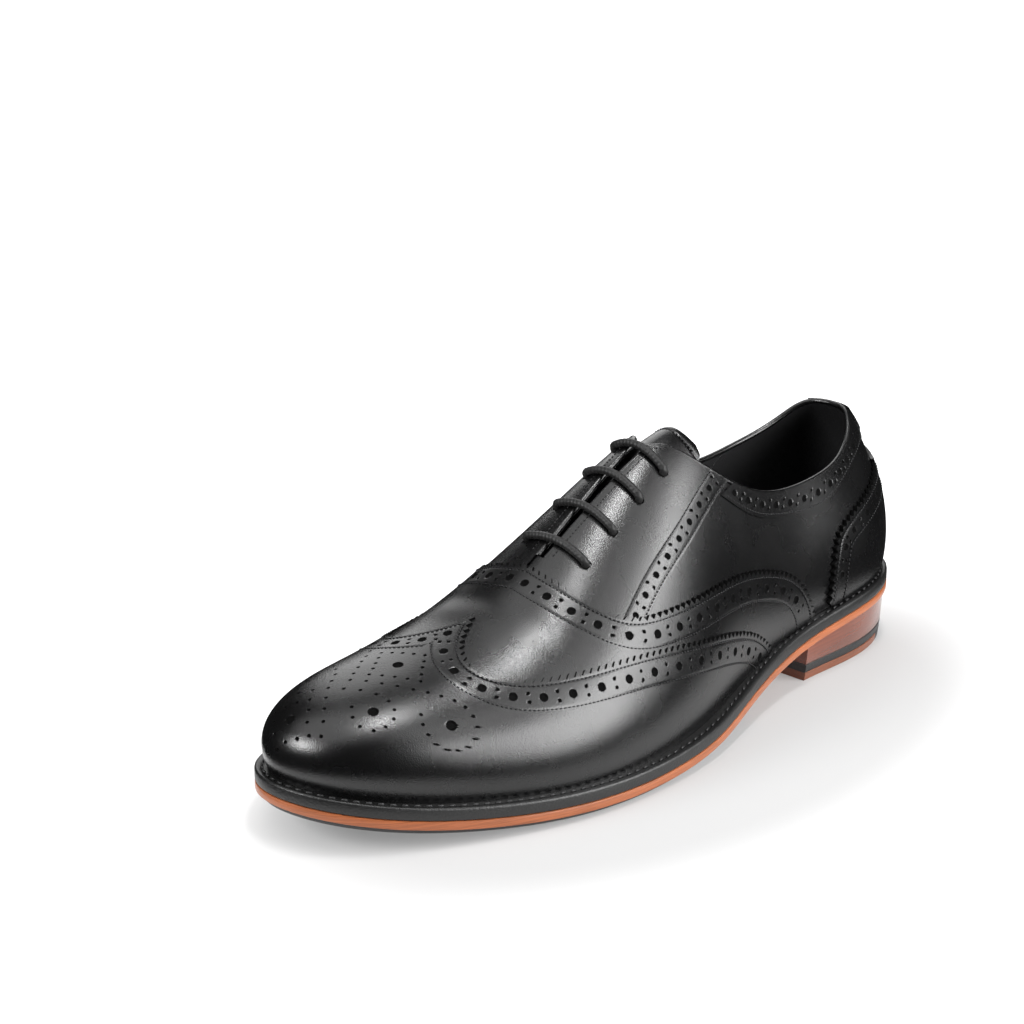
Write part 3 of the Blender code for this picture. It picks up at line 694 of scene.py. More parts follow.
def thread_along(points, normals, pitch, radius, share=0.72, skew=0.0):
    """Stitches along a polyline with normals: one bowed five-sided stitch for each pitch.

    Each has rings at four places, and its end rings are drawn to a point."""
    run = run_length(points)
    count = max(1, int(run[-1] / pitch))
    middle = (np.arange(count) + 0.5) * run[-1] / count
    half = pitch * share / 2
    place = points_at(points, run, middle)
    normal = unit(points_at(normals, run, middle))
    tangent = unit(points_at(points, run, middle + half) - points_at(points, run, middle - half))
    across = unit(np.cross(normal, tangent))
    along = unit(tangent + across * skew)
    across = unit(np.cross(normal, along))
    share_at = np.array([-1, -0.62, 0.62, 1.0])
    rise = np.array([-0.7, 0.35, 0.35, -0.7]) * radius
    thick = np.array([0, 1, 1, 0.0]) * radius
    angle = np.arange(5) * 2 * math.pi / 5
    ring = (np.cos(angle)[:, None, None] * across + np.sin(angle)[:, None, None] * normal)
    centre_line = (place + along * half * share_at[:, None, None] + normal * rise[:, None, None])
    grid = centre_line[:, None] + ring[None] * thick[:, None, None, None]
    grid = grid.transpose(2, 0, 1, 3)
    one = grid_faces(4, 5, wrap=True)
    faces = (one[None] + (np.arange(count) * 20)[:, None, None]).reshape(-1, 4)
    flat = grid.reshape(-1, 3)
    if np.sum(np.cross(flat[faces[5, 1]] - flat[faces[5, 0]], flat[faces[5, 3]] - flat[faces[5, 0]])
              * (flat[faces[5, 0]] - grid[0].reshape(-1, 3).mean(axis=0))) < 0:
        faces = faces[:, ::-1]
    return flat, faces


def tube(path, radius, sides=16, weave=0.0, lay=2.4):
    """Round cord along a path, with frames carried along it and both ends closed.

    weave lifts the surface along two crossing sets of spiral strands of the given lay."""
    tangent = unit(np.gradient(path, axis=0))
    first = unit(np.cross(tangent[0], (0.31, 0.87, 0.38)))
    frames = [first]
    for t in tangent[1:]:
        side = frames[-1] - t * np.dot(frames[-1], t)
        frames.append(side / np.linalg.norm(side))
    side = np.array(frames)
    other = np.cross(tangent, side)
    angle = np.arange(sides) * 2 * math.pi / sides
    run = run_length(path)
    turn = run[:, None] / lay * 2 * math.pi
    strands = np.maximum(np.cos(3 * angle[None] + turn), np.cos(3 * angle[None] - turn))
    size = radius * (1 + weave * strands)
    points = (path[:, None] + size[..., None] * (np.cos(angle)[None, :, None] * side[:, None]
                                                 + np.sin(angle)[None, :, None] * other[:, None]))
    points = np.concatenate([np.repeat(path[:1, None], sides, 1), points,
                             np.repeat(path[-1:, None], sides, 1)])
    flat = points.reshape(-1, 3)
    faces = grid_faces(len(path) + 2, sides, wrap=True)
    uv = np.stack([np.broadcast_to(angle / (2 * math.pi), points.shape[:2]),
                   np.broadcast_to(np.r_[run[0], run, run[-1]][:, None] * 0.1, points.shape[:2])], -1)
    return flat, solid_out(flat, faces), uv.reshape(-1, 2)


def shader_of(material):
    """The principled shader of a material and its node tree."""
    tree = material.node_tree
    return tree, tree.nodes["Principled BSDF"]


def new_material(name, roughness, coat=0.0, coat_roughness=0.1, specular=0.5):
    """Material with its plain values on the shader's own sockets."""
    material = bpy.data.materials.get(name)
    if material:
        return material, False
    material = bpy.data.materials.new(name)
    material.use_nodes = True
    _, shader = shader_of(material)
    shader.inputs["Roughness"].default_value = roughness
    shader.inputs["Coat Weight"].default_value = coat
    shader.inputs["Coat Roughness"].default_value = coat_roughness
    shader.inputs["Specular IOR Level"].default_value = specular
    return material, True


def node(tree, kind, **values):
    """A node with its settings and input values given by name."""
    made = tree.nodes.new(kind)
    for key, value in values.items():
        name = key.replace("_", " ").title() if key.islower() else key
        if key in ("feature", "operation"):
            setattr(made, key, value)
        else:
            made.inputs[name].default_value = value
    return made


def ramp(tree, stops):
    """A colour ramp with (place, colour) stops."""
    made = tree.nodes.new("ShaderNodeValToRGB")
    band = made.color_ramp
    band.elements[0].position, band.elements[-1].position = stops[0][0], stops[-1][0]
    for place, _ in stops[1:-1]:
        band.elements.new(place)
    for element, (_, colour) in zip(band.elements, stops):
        element.color = (*colour, 1.0)
    return made


def scaled(colour, share):
    """A colour made lighter or darker."""
    return tuple(value * share for value in colour)


def bumped(tree, shader, height, strength, distance, sockets=("Normal",)):
    """A bump from a height onto the shader's normals."""
    bump = node(tree, "ShaderNodeBump", strength=strength, distance=distance)
    tree.links.new(height, bump.inputs["Height"])
    for socket in sockets:
        tree.links.new(bump.outputs["Normal"], shader.inputs[socket])


def noise_tone(tree, shader, scale, low, high):
    """Noise on the object's coordinates that runs the base colour from one tone to another."""
    noise = node(tree, "ShaderNodeTexNoise", scale=scale, detail=2.0)
    tree.links.new(tree.nodes.new("ShaderNodeTexCoord").outputs["Object"], noise.inputs["Vector"])
    tone = ramp(tree, ((0.3, low), (0.7, high)))
    tree.links.new(noise.outputs["Fac"], tone.inputs["Fac"])
    tree.links.new(tone.outputs["Color"], shader.inputs["Base Color"])
    return noise.outputs["Fac"]


def leather_material(name, colour, roughness=0.27, coat=0.25, coat_roughness=0.2, grain=0.000026,
                     scale=2400.0):
    """Polished grain leather: pebbled cells and fine pores in the bump, uneven wax in the roughness."""
    material, fresh = new_material(name, roughness, coat, coat_roughness, 0.7)
    if not fresh:
        return material
    tree, shader = shader_of(material)
    link = tree.links.new
    where = tree.nodes.new("ShaderNodeTexCoord").outputs["Object"]
    cells = node(tree, "ShaderNodeTexVoronoi", feature="SMOOTH_F1", scale=scale, smoothness=0.6)
    pores = node(tree, "ShaderNodeTexNoise", scale=scale * 1.2, detail=1.0, roughness=0.5)
    wax = node(tree, "ShaderNodeTexNoise", scale=55.0, detail=4.0, roughness=0.55)
    for texture in (cells, pores, wax):
        link(where, texture.inputs["Vector"])
    rough = node(tree, "ShaderNodeMapRange")
    rough.inputs["From Min"].default_value = 0.3
    rough.inputs["From Max"].default_value = 0.7
    rough.inputs["To Min"].default_value = roughness - 0.02
    rough.inputs["To Max"].default_value = roughness + 0.02
    link(wax.outputs["Fac"], rough.inputs["Value"])
    link(rough.outputs["Result"], shader.inputs["Roughness"])
    tone = ramp(tree, ((0.3, scaled(colour, 0.85)), (0.7, scaled(colour, 1.15))))
    link(wax.outputs["Fac"], tone.inputs["Fac"])
    link(tone.outputs["Color"], shader.inputs["Base Color"])
    height = node(tree, "ShaderNodeMath", operation="MULTIPLY_ADD")
    height.inputs[1].default_value = 1.5
    link(cells.outputs["Distance"], height.inputs[0])
    link(pores.outputs["Fac"], height.inputs[2])
    bumped(tree, shader, height.outputs["Value"], 1.0, grain, ("Normal", "Coat Normal"))
    return material


def hole_and_shadow_line_material():
    """Raw leather seen in a punched hole: very dark, matt and fibrous; on the skirt under gimped teeth it
    is a painted shadow line.
    """
    material, fresh = new_material("punched_hole_and_painted_shadow", 0.95, specular=0.1)
    if not fresh:
        return material
    noise_tone(*shader_of(material), 3000.0, (0.001, 0.001, 0.001), (0.004, 0.004, 0.004))
    return material


def thread_material(name, colour, scale=4000.0):
    """Waxed thread: matt, with a fine twist in the colour and the bump."""
    material, fresh = new_material(name, 0.5)
    if not fresh:
        return material
    tree, shader = shader_of(material)
    twist = noise_tone(tree, shader, scale, scaled(colour, 0.6), scaled(colour, 1.6))
    bumped(tree, shader, twist, 0.4, 0.0001)
    return material


def layered_material(name, colour, roughness, coat, stretch, contrast):
    """Stacked sole leather: thin level fibres, as stretched noise in the colour and the bump."""
    material, fresh = new_material(name, roughness, coat, 0.12)
    if not fresh:
        return material
    tree, shader = shader_of(material)
    link = tree.links.new
    where = tree.nodes.new("ShaderNodeTexCoord").outputs["Object"]
    spread = node(tree, "ShaderNodeMapping", scale=stretch)
    link(where, spread.inputs["Vector"])
    fibre = node(tree, "ShaderNodeTexNoise", scale=1.0, detail=5.0, roughness=0.65)
    link(spread.outputs["Vector"], fibre.inputs["Vector"])
    patch = node(tree, "ShaderNodeTexNoise", scale=40.0, detail=3.0)
    link(where, patch.inputs["Vector"])
    both = node(tree, "ShaderNodeMath", operation="MULTIPLY_ADD")
    both.inputs[1].default_value = 0.4
    link(patch.outputs["Fac"], both.inputs[0])
    link(fibre.outputs["Fac"], both.inputs[2])
    tone = ramp(tree, ((0.45, scaled(colour, 1 - contrast)), (0.7, colour),
                       (0.95, scaled(colour, 1 + contrast))))
    link(both.outputs["Value"], tone.inputs["Fac"])
    link(tone.outputs["Color"], shader.inputs["Base Color"])
    bumped(tree, shader, fibre.outputs["Fac"], 0.25, 0.0002)
    return material


def floor_material():
    """White floor: glowing, its glow dimmed towards the middle of an ellipse under the shoe as painted
    shade, where the lamps' shadows also fall.
    """
    material, _ = new_material("floor_white", 0.8)
    tree, shader = shader_of(material)
    link = tree.links.new
    shader.inputs["Base Color"].default_value = (0.42, 0.42, 0.42, 1)
    shader.inputs["Emission Color"].default_value = (1, 1, 1, 1)
    where = tree.nodes.new("ShaderNodeTexCoord").outputs["Object"]
    spread = node(tree, "ShaderNodeMapping", scale=(1 / FLOOR_SHADE[0], 1 / FLOOR_SHADE[1], 1.0),
                  location=(0.0, -FLOOR_SHIFT / FLOOR_SHADE[1], 0.0))
    link(where, spread.inputs["Vector"])
    middle = tree.nodes.new("ShaderNodeTexGradient")
    middle.gradient_type = "SPHERICAL"
    link(spread.outputs["Vector"], middle.inputs["Vector"])
    # Painted shade: the glow falls from 1 outside the ellipse to FLOOR_GLOW in its middle.
    glow = tree.nodes.new("ShaderNodeMapRange")
    glow.interpolation_type = "SMOOTHSTEP"
    glow.inputs["From Max"].default_value = 0.45
    glow.inputs["To Min"].default_value = 1.0
    glow.inputs["To Max"].default_value = FLOOR_GLOW
    link(middle.outputs["Fac"], glow.inputs["Value"])
    link(glow.outputs["Result"], shader.inputs["Emission Strength"])
    return material


def upper_leather(context):
    """Leather of the whole upper."""
    return leather_material("polished_leather", tuple(context.scene.oxford_colours.leather))


def upper_thread(context):
    """Thread of the upper's seams."""
    return thread_material("black_thread", tuple(context.scene.oxford_colours.thread))


def lining_leather(context):
    """Matt leather of the lining and the sock."""
    return leather_material("black_lining", tuple(context.scene.oxford_colours.lining), 0.62, 0.0, 0.3,
                            0.00004, 2200.0)


def sole_rubber(context):
    """Rubber of the forefoot and the heel."""
    return leather_material("black_rubber", tuple(context.scene.oxford_colours.rubber), 0.5, 0.0, 0.3,
                            0.00006, 1800.0)


def panel_line(table, low, high, step=0.8, forward=1):
    """Line of a table of girth and x, from one girth to another, across the ridge if the signs differ."""
    g = np.linspace(low, high, 1200)
    return Line(station(profile(table)(np.abs(g))), g, step, forward)


def band_seams(band, widths, level, sizes, start=1.5):
    """Stitches at the given widths of a band, on each side of the ridge and clear of the mitre there."""
    seams = []
    run = np.arange(start, band.line.at[-1] - 1.5, 0.4)
    for width in widths:
        w, g = band.chart(run, np.full(run.shape, width))
        for side in (1, -1):
            keep = g * side > 0.003
            if np.count_nonzero(keep) > 4:
                seams.append(stitches(w[keep], g[keep], level, sizes))
    return seams


def offset_station(band, width, girth, side):
    """Station of a band's inner edge at given girths, from the walked line."""
    run = band.line.at
    w, g = band.chart(run, np.full(run.shape, width))
    keep = g * side > 1e-4
    order = np.argsort(g[keep] * side)
    return np.interp(girth, (g[keep] * side)[order], w[keep][order])


def behind_strip(band, girth):
    """Stations where the sheet behind a strip starts, and its girths, from medial to lateral."""
    w = [offset_station(band, STRIP_LAP, girth[:0:-1], -1), offset_station(band, STRIP_LAP, girth, 1)]
    return np.concatenate(w), np.r_[-girth[:0:-1], girth]


def even_girth(x, count):
    """Girths from the ridge to the feather edge at equal lengths of the section at x."""
    girth = np.linspace(0, 1, 2000)
    run = run_length(last(np.full(2000, float(station(x))), girth))
    return np.interp(np.linspace(0, run[-1], count), run, girth)


def spaced(row, steps):
    """Points at equal steps along a line through the corners of a row."""
    return even_points(np.array(row, float), steps + 1)


def medallion_holes():
    """Places of the medallion on its flat chart, large holes and small ones, mirrored on the axis."""
    sets = []
    for chart in (np.array(MEDALLION_BIG, float),
                  np.concatenate([spaced(row, steps) for steps, row in MEDALLION_ROWS])):
        both = np.concatenate([chart, chart[chart[:, 1] > 0.1] * (1, -1)])
        bend = np.interp(both[:, 0], *np.array(MEDALLION_BEND).T)
        sets.append(both + np.stack([MEDALLION_SKEW * both[:, 1], bend], -1))
    return sets


def laid_flat(points):
    """Points of the toe as (forward, side) from the medallion's middle.

    They are turned by the medallion's angle and pushed out by how far they lie below its middle."""
    turn = math.radians(MEDALLION_TURN)
    x, y = points[:, 0] - MEDALLION_AT[0], points[:, 1] - MEDALLION_AT[1]
    own = np.stack([x * math.cos(turn) + y * math.sin(turn), y * math.cos(turn) - x * math.sin(turn)], -1)
    drop = np.maximum(0, MEDALLION_AT[2] - points[:, 2:])
    return own + unit(own) * MEDALLION_FALL * drop


def on_toe(spots):
    """Points of the wing cap at places of the medallion's chart, found on a fine sample of the leather."""
    w, g = np.meshgrid(np.linspace(station(215.0), 1, 300), np.linspace(-0.8, 0.8, 401), indexing="ij")
    sample = skin(w, g, np.full(w.shape, WING_LEVEL)).reshape(-1, 3)
    flat = laid_flat(sample)
    gap = (flat[:, 0][None] - spots[:, :1]) ** 2 + (flat[:, 1][None] - spots[:, 1:]) ** 2
    return sample[np.argmin(gap, axis=1)]


class OXFORD_OT_wing_cap(bpy.types.Operator):
    """Wing cap: gimped brogue strip, toe leather with its medallion, and two seams"""
    bl_idname = "oxford.wing_cap"
    bl_label = "Wing cap"

    def execute(self, context):
        sizes = context.scene.oxford_sizes
        line = panel_line(WING_EDGE, -0.985, 0.985)
        band = Band(line, 13)
        middle = float(np.interp(0, line.g, line.at))
        strip = gimped_strip(band, STRIP_END, WING_LEVEL, STRIP_THICK, STRIP_SEAMS, sizes, middle + 6.0,
                             STRIP_HOLES, STRIP_PAIRS, hole_runs(WING_PITCH, 10.5, middle, line.at[-1]),
                             sizes.hole_radius)
        reach, g = behind_strip(band, even_girth(258.0, 181))
        share = np.linspace(0, 1, 261)[:, None]
        w = reach[None] + (1 - reach[None]) * share
        sheet, normals, faces = sheet_on_last(w, np.broadcast_to(g, w.shape), WING_LEVEL)
        big, small = medallion_holes()
        holes = np.concatenate([on_toe(big), on_toe(small)])
        radii = np.r_[np.full(len(big), MEDALLION_RADIUS), np.full(len(small), sizes.pin_radius / MM)]
        sheet, kind = punch(sheet, normals, holes, radii, sizes.hole_depth / MM)
        leather = upper_leather(context)
        add_piece("wing_cap_leather", sheet, faces, leather, "black_leather", ("wing_cap",), sharp=50,
                  marks=hole_marks(faces, kind))
        add_piece("wing_cap_band_leather", *strip[:2], leather, "black_leather", ("wing_cap",), sharp=50,
                  marks=strip[2])
        seams = band_seams(band, STRIP_SEAMS, WING_LEVEL, sizes)
        add_piece("wing_cap_seams", *join(seams), upper_thread(context), "black_leather", weld=0.001)
        return {"FINISHED"}


class OXFORD_OT_vamp(bpy.types.Operator):
    """Vamp: gimped brogue strip over the quarters, leather up to under the wing cap, and two seams"""
    bl_idname = "oxford.vamp"
    bl_label = "Vamp"

    def execute(self, context):
        sizes = context.scene.oxford_sizes
        line = panel_line(VAMP_EDGE, -0.985, 0.985)
        band = Band(line, 13)
        middle = float(np.interp(0, line.g, line.at))
        strip = gimped_strip(band, STRIP_END, VAMP_LEVEL, STRIP_THICK, STRIP_SEAMS, sizes, middle,
                             STRIP_HOLES, STRIP_PAIRS, hole_runs(VAMP_PITCH, 4.5, middle, line.at[-1]),
                             sizes.hole_radius)
        start, g = behind_strip(band, np.linspace(0, 1, 131))
        end = np.maximum(station(profile(WING_EDGE)(np.abs(g)) + 9), start + 0.002)
        share = np.linspace(0, 1, 50)[:, None]
        w = start[None] + (end - start)[None] * share
        g = np.broadcast_to(g, w.shape)
        x = base_x(w)
        flex = -0.22 * np.exp(-((x - 209) / 4.5) ** 2) + 0.15 * np.exp(-((x - 217) / 5.0) ** 2)
        level = VAMP_LEVEL + flex * np.exp(-(np.abs(g) / 0.4) ** 4)
        sheet, _, faces = sheet_on_last(w, g, level)
        points, quads = join([strip[:2], (sheet, faces)])
        add_piece("vamp_leather", points, quads, upper_leather(context), "black_leather", ("vamp",),
                  sharp=50, marks=np.r_[strip[2], np.zeros(len(faces), int)])
        seams = band_seams(band, STRIP_SEAMS, VAMP_LEVEL, sizes)
        add_piece("vamp_seams", *join(seams), upper_thread(context), "black_leather", weld=0.001)
        return {"FINISHED"}


class OXFORD_OT_counter(bpy.types.Operator):
    """Heel counter with its strap up the back seam: gimped brogue strips, leather behind them, and seams"""
    bl_idname = "oxford.counter"
    bl_label = "Heel counter"

    def execute(self, context):
        sizes = context.scene.oxford_sizes
        parts, marks, seams = [], [], []
        highest = float(top_girth(station(np.array([3.0])), 1)[0]) + 0.012
        girth = np.linspace(highest, 1, 90)
        reach = []
        for side in (1, -1):
            line = panel_line(COUNTER_EDGE, side * 0.985, side * 0.605, forward=-1)
            band = Band(line, 11)
            holes = hole_runs(((0, sizes.hole_pitch / MM),), 12.0, 0, line.at[-1])
            points, faces, mark = gimped_strip(band, 9.5, COUNTER_LEVEL, STRIP_THICK, (2.3, 8.8), sizes,
                                               0.0, 5.5, (4.5, 7.0), holes, sizes.facing_radius)
            parts.append((points, faces))
            marks.append(mark)
            seams += band_seams(band, (2.3, 8.8), COUNTER_LEVEL, sizes)
            strap = station(profile(COUNTER_EDGE)(girth))
            below = np.maximum(offset_station(band, 9.2, girth, side), station(10.0))
            reach.append(np.where(girth < 0.6, strap, below))
            seam = np.linspace(highest + 0.02, 0.6, 60)
            seams.append(stitches(np.full(60, float(station(4.0))), side * seam, COUNTER_LEVEL, sizes))
        share = np.r_[np.linspace(0, 1, 36), 1]
        w = np.concatenate([reach[1][None] * share[:0:-1, None], reach[0][None] * share[:, None]])
        g = np.concatenate([-np.broadcast_to(girth, (36, 90)), np.broadcast_to(girth, (37, 90))])
        level = np.full((len(w), 90, 1), COUNTER_LEVEL)
        level[[0, -1]] -= STRIP_THICK
        sheet, _, faces = sheet_on_last(w, g, level)
        parts.append((sheet, faces))
        marks.append(np.zeros(len(faces), int))
        add_piece("counter_leather", *join(parts), upper_leather(context), "black_leather", ("counter",),
                  sharp=50, marks=np.concatenate(marks))
        add_piece("counter_seams", *join(seams), upper_thread(context), "black_leather", weld=0.001)
        return {"FINISHED"}


def top_edge(side, count=420):
    """Stations and girths along the top edge of one side, from the heel to the bottom of the throat."""
    x = np.r_[np.linspace(SIDE_X[0], 128, count // 2), np.linspace(128.2, THROAT_LOW, count // 2)]
    w = station(x)
    return w, top_girth(w, side) * side


class OXFORD_OT_quarters(bpy.types.Operator):
    """Quarters with the facings, the collar band, the rolled collar edge, eyelets and seams"""
    bl_idname = "oxford.quarters"
    bl_label = "Quarters"

    def execute(self, context):
        sizes = context.scene.oxford_sizes
        leather = upper_leather(context)
        share = np.linspace(0, 1, 60)
        x = np.r_[np.linspace(SIDE_X[0], THROAT_LOW, 160), THROAT_LOW + 0.2, np.linspace(190, 204, 8)]
        blocks = []
        for side in (1, -1):
            w = station(x)
            top = top_girth(w, side)
            g = side * (1 - (1 - top[:, None]) * share)
            blocks.append((np.broadcast_to(w[:, None], g.shape), g))
        w = np.concatenate([blocks[1][0][:0:-1], blocks[0][0]])
        g = np.concatenate([blocks[1][1][:0:-1], blocks[0][1]])
        sheet, _, faces = sheet_on_last(w, g, QUARTER_LEVEL)
        parts, marks, seams = [(sheet, faces)], [np.zeros(len(faces), int)], []
        for side in (1, -1):
            x = np.linspace(FACING_EDGE[0][0], FACING_EDGE[-1][0], 600)
            line = Line(station(x), side * profile(FACING_EDGE)(x), 0.8, 1)
            middle = len(line.w) // 2
            if np.sum(line.across[middle] * slopes(line.w, line.g)[1][middle]) * side > 0:
                line.across = -line.across
            band = Band(line, 10)
            holes = hole_runs(((0, sizes.facing_pitch / MM),), 6.0, 0, line.at[-1], 4.0)
            strip = gimped_strip(band, 8.5, FACING_LEVEL, 0.8, (1.0, 7.8), sizes, 6.0, 4.5, (3.0, 6.0),
                                 holes, sizes.facing_radius, gimped=False, rim_side=side)
            parts.append(strip[:2])
            marks.append(strip[2])
            seams += band_seams(band, (1.0, 7.8), FACING_LEVEL, sizes, start=9.0)
            points, quads, mark = facing_front(band, side)
            parts.append((points, quads))
            marks.append(mark)
            points, quads, mark, seam = collar_band(side, sizes)
            parts.append((points, quads))
            marks.append(mark)
            seams.append(seam)
            seams.append(throat_seam(side, sizes))
        add_piece("quarter_leather", *join(parts), leather, "black_leather", ("upper",), sharp=50,
                  marks=np.concatenate(marks))
        add_piece("quarter_seams", *join(seams), upper_thread(context), "black_leather", weld=0.001)
        edges = [top_edge(side) for side in (1, -1)]
        w = np.concatenate([edges[0][0][::-1], edges[1][0][1:]])
        g = np.concatenate([edges[0][1][::-1], edges[1][1][1:]])
        path = skin(w, g, np.full(w.shape, -1.0))
        points, quads, _ = tube(even_points(path, 700), sizes.bead_radius / MM, 12)
        add_piece("collar_bead", points, quads, leather, "black_leather")
        return {"FINISHED"}


def facing_front(band, side):
    """Front of a facing, from its brogue strip to the throat's edge, with the eyelets punched in."""
    x = np.linspace(108, THROAT_LOW + 14, 170)
    w = station(x)
    run = band.line.at
    bw, bg = band.chart(run, np.full(run.shape, 8.2))
    start = np.interp(w, bw, bg * side)
    top = np.minimum(top_girth(np.minimum(w, station(THROAT_LOW)), side), start - 0.002)
    share = np.linspace(0, 1, 48)
    g = side * (start[:, None] + (top - start)[:, None] * share)
    w = np.broadcast_to(w[:, None], g.shape)
    points, normals, faces = sheet_on_last(w, g, FACING_LEVEL)
    eyelets = station(np.array(EYELET_X))
    girth = EYELET_LATERAL if side > 0 else -EYELET_MEDIAL
    holes = skin(eyelets, np.full(4, girth), np.full(4, FACING_LEVEL))
    points, kind = punch(points, normals, holes, np.full(4, EYELET_RADIUS), EYELET_DEPTH)
    return points, faces, hole_marks(faces, kind)


def collar_band(side, sizes):
    """Band under the collar's edge: a ruled grid from its lower edge to the top edge, holes and a seam."""
    count = 250
    share = np.linspace(0, 1, count)
    low_x = 5 + (117 - 5) * share
    high_x = 5 + (108 - 5) * share
    low = profile(BAND_EDGE)(low_x)
    high = top_girth(station(high_x), side)
    low_w, high_w = station(low_x), station(high_x)
    length_low = run_length(last(low_w, side * low))
    even = np.interp(np.arange(0, length_low[-1], 0.5), length_low, share)
    part = np.r_[0, 0, np.linspace(0.05, 1, 22)][:, None]
    w = np.interp(even, share, low_w) * (1 - part) + np.interp(even, share, high_w) * part
    g = side * (np.interp(even, share, low) * (1 - part) + np.interp(even, share, high) * part)
    normals = normal_at(w, g)
    height = np.full(w.shape, FACING_LEVEL)
    height[0] = QUARTER_LEVEL - 0.2
    points = (last(w, g) + normals * height[..., None]).reshape(-1, 3)
    flat = normals.reshape(-1, 3)
    pitch = 2 * int(round(sizes.facing_pitch / MM))
    columns = np.arange(8, w.shape[1] - 8, pitch)
    between = np.arange(8 + pitch // 2, w.shape[1] - 8, pitch)
    spots = [(columns, 0.52, sizes.facing_radius / MM), (between, 0.36, sizes.pin_radius / MM),
             (between, 0.68, sizes.pin_radius / MM)]
    holes, radii = [], []
    for column, where, radius in spots:
        row = int(round(2 + (where - 0.05) / 0.95 * 21))
        holes.append(points.reshape(*w.shape, 3)[row, column])
        radii.append(np.full(len(column), radius))
    points, kind = punch(points, flat, np.concatenate(holes), np.concatenate(radii), sizes.hole_depth / MM)
    faces = facing_out(points, grid_faces(*w.shape), flat)
    row = 4
    seam = stitches(w[row, 4:-4], g[row, 4:-4], FACING_LEVEL, sizes)
    return points, faces, hole_marks(faces, kind), seam


def throat_seam(side, sizes):
    """Seam just inside the edge of the throat."""
    x = np.linspace(THROAT_HIGH - 8, THROAT_LOW - 1, 200)
    w = station(x)
    g = side * (top_girth(w, side) + 0.035)
    return stitches(w, g, FACING_LEVEL, sizes)


class OXFORD_OT_lining(bpy.types.Operator):
    """Lining inside the upper, from the insole to the collar's edge and into the toe"""
    bl_idname = "oxford.lining"
    bl_label = "Lining"

    def execute(self, context):
        x = np.r_[np.linspace(SIDE_X[0], THROAT_LOW, 120), THROAT_LOW + 0.2,
                  np.linspace(190, SIDE_X[-1], 70)]
        share = np.linspace(0, 1, 50)
        w = station(x)
        blocks = []
        for side in (1, -1):
            top = top_girth(w, side)
            blocks.append(side * (1 - (1 - top[:, None]) * share))
        stations = np.broadcast_to(w[:, None], blocks[0].shape)
        w = np.concatenate([stations, stations[-2::-1]])
        g = np.concatenate([blocks[0], blocks[1][-2::-1]])
        points, _, faces = sheet_on_last(w, g, 0.1 - WALL)
        add_piece("lining", points, faces[:, ::-1], lining_leather(context), "lining", ("upper",),
                  weld=0.05)
        return {"FINISHED"}


class OXFORD_OT_tongue(bpy.types.Operator):
    """Tongue with its turned top edge and a seam along it"""
    bl_idname = "oxford.tongue"
    bl_label = "Tongue"

    def execute(self, context):
        sizes = context.scene.oxford_sizes
        share = np.r_[np.linspace(0, 0.1, 30), np.linspace(0.11, 1, 90)][:, None]
        x = TONGUE_TOP + (TONGUE_LOW - TONGUE_TOP) * share
        across = np.linspace(-1, 1, 70)
        g = np.interp(x, *np.array(TONGUE_GIRTH).T) * across
        w = station(x - TONGUE_SWEEP * (1 - share) * across ** 2)
        normals = normal_at(w, g)
        top = -WALL - TONGUE_CLEAR
        roll = (x - TONGUE_TOP)[..., None]
        bead = -0.5 * np.exp(-(roll / 0.6) ** 2) - 0.35 * np.exp(-((roll - 3.0) / 0.5) ** 2)
        outer = last(w, g) + normals * (top + bead)
        inner = last(w, g) + normals * (top - TONGUE_THICK)
        grid = np.concatenate([outer, inner[:, ::-1]], axis=1)
        rows, columns = grid.shape[:2]
        faces = grid_faces(rows, columns, wrap=True)
        flat = grid.reshape(-1, 3)
        caps = np.stack([np.arange(0, 69), np.arange(1, 70), np.arange(138, 69, -1),
                         np.arange(139, 70, -1)], -1)
        faces = np.concatenate([solid_out(flat, faces), caps[:, ::-1], caps + (rows - 1) * columns])
        leather = upper_leather(context)
        item = add_piece("tongue_leather", flat, faces, leather, "black_leather", ("tongue",), sharp=60)
        turn_outwards(item)
        g = np.linspace(-0.24, 0.24, 160)
        w = station(TONGUE_TOP + 3.0 - TONGUE_SWEEP * (g / 0.27) ** 2)
        points, quads = stitches(w, g, top, sizes)
        add_piece("tongue_seam", points, quads, upper_thread(context), "black_leather", weld=0.001)
        return {"FINISHED"}


class OXFORD_OT_laces(bpy.types.Operator):
    """Four straight bars of braided lace, each from under one eyelet over the throat into the other"""
    bl_idname = "oxford.laces"
    bl_label = "Laces"

    def execute(self, context):
        radius = context.scene.oxford_sizes.lace_radius / MM
        material = thread_material("lace_braid", tuple(context.scene.oxford_colours.lace), 1500.0)
        for number, x in enumerate(EYELET_X, 1):
            w = float(station(x))
            turn = np.linspace(0, math.pi / 2, 14)
            bend = 0.022
            over = np.linspace(EYELET_LATERAL - bend, bend - EYELET_MEDIAL, 90)
            g = np.r_[np.full(8, EYELET_LATERAL), EYELET_LATERAL - bend + bend * np.cos(turn), over[1:-1],
                      bend - EYELET_MEDIAL - bend * np.cos(turn[::-1]), np.full(8, -EYELET_MEDIAL)]
            rise = FACING_LEVEL + radius + 0.15
            dip = np.linspace(-3.2, -0.3, 8)
            height = np.r_[dip, rise * np.sin(turn), np.full(88, rise), rise * np.sin(turn[::-1]),
                           dip[::-1]]
            path = skin(np.full(g.shape, w), g, height)
            path = even_points(path, int(run_length(path)[-1] / 0.22))
            points, faces, uv = tube(path, radius, 24, 0.07, 1.6)
            add_piece(f"lace_{number}", points, faces, material, "lace", (f"lace_bar_{number}",), uv=uv)
        return {"FINISHED"}


def sole_loop(inset, count):
    """Closed loop of the sole's edge moved in, with the same number of points on both branches."""
    return [even_points(branch, count + 1) for branch in branches(inset)]


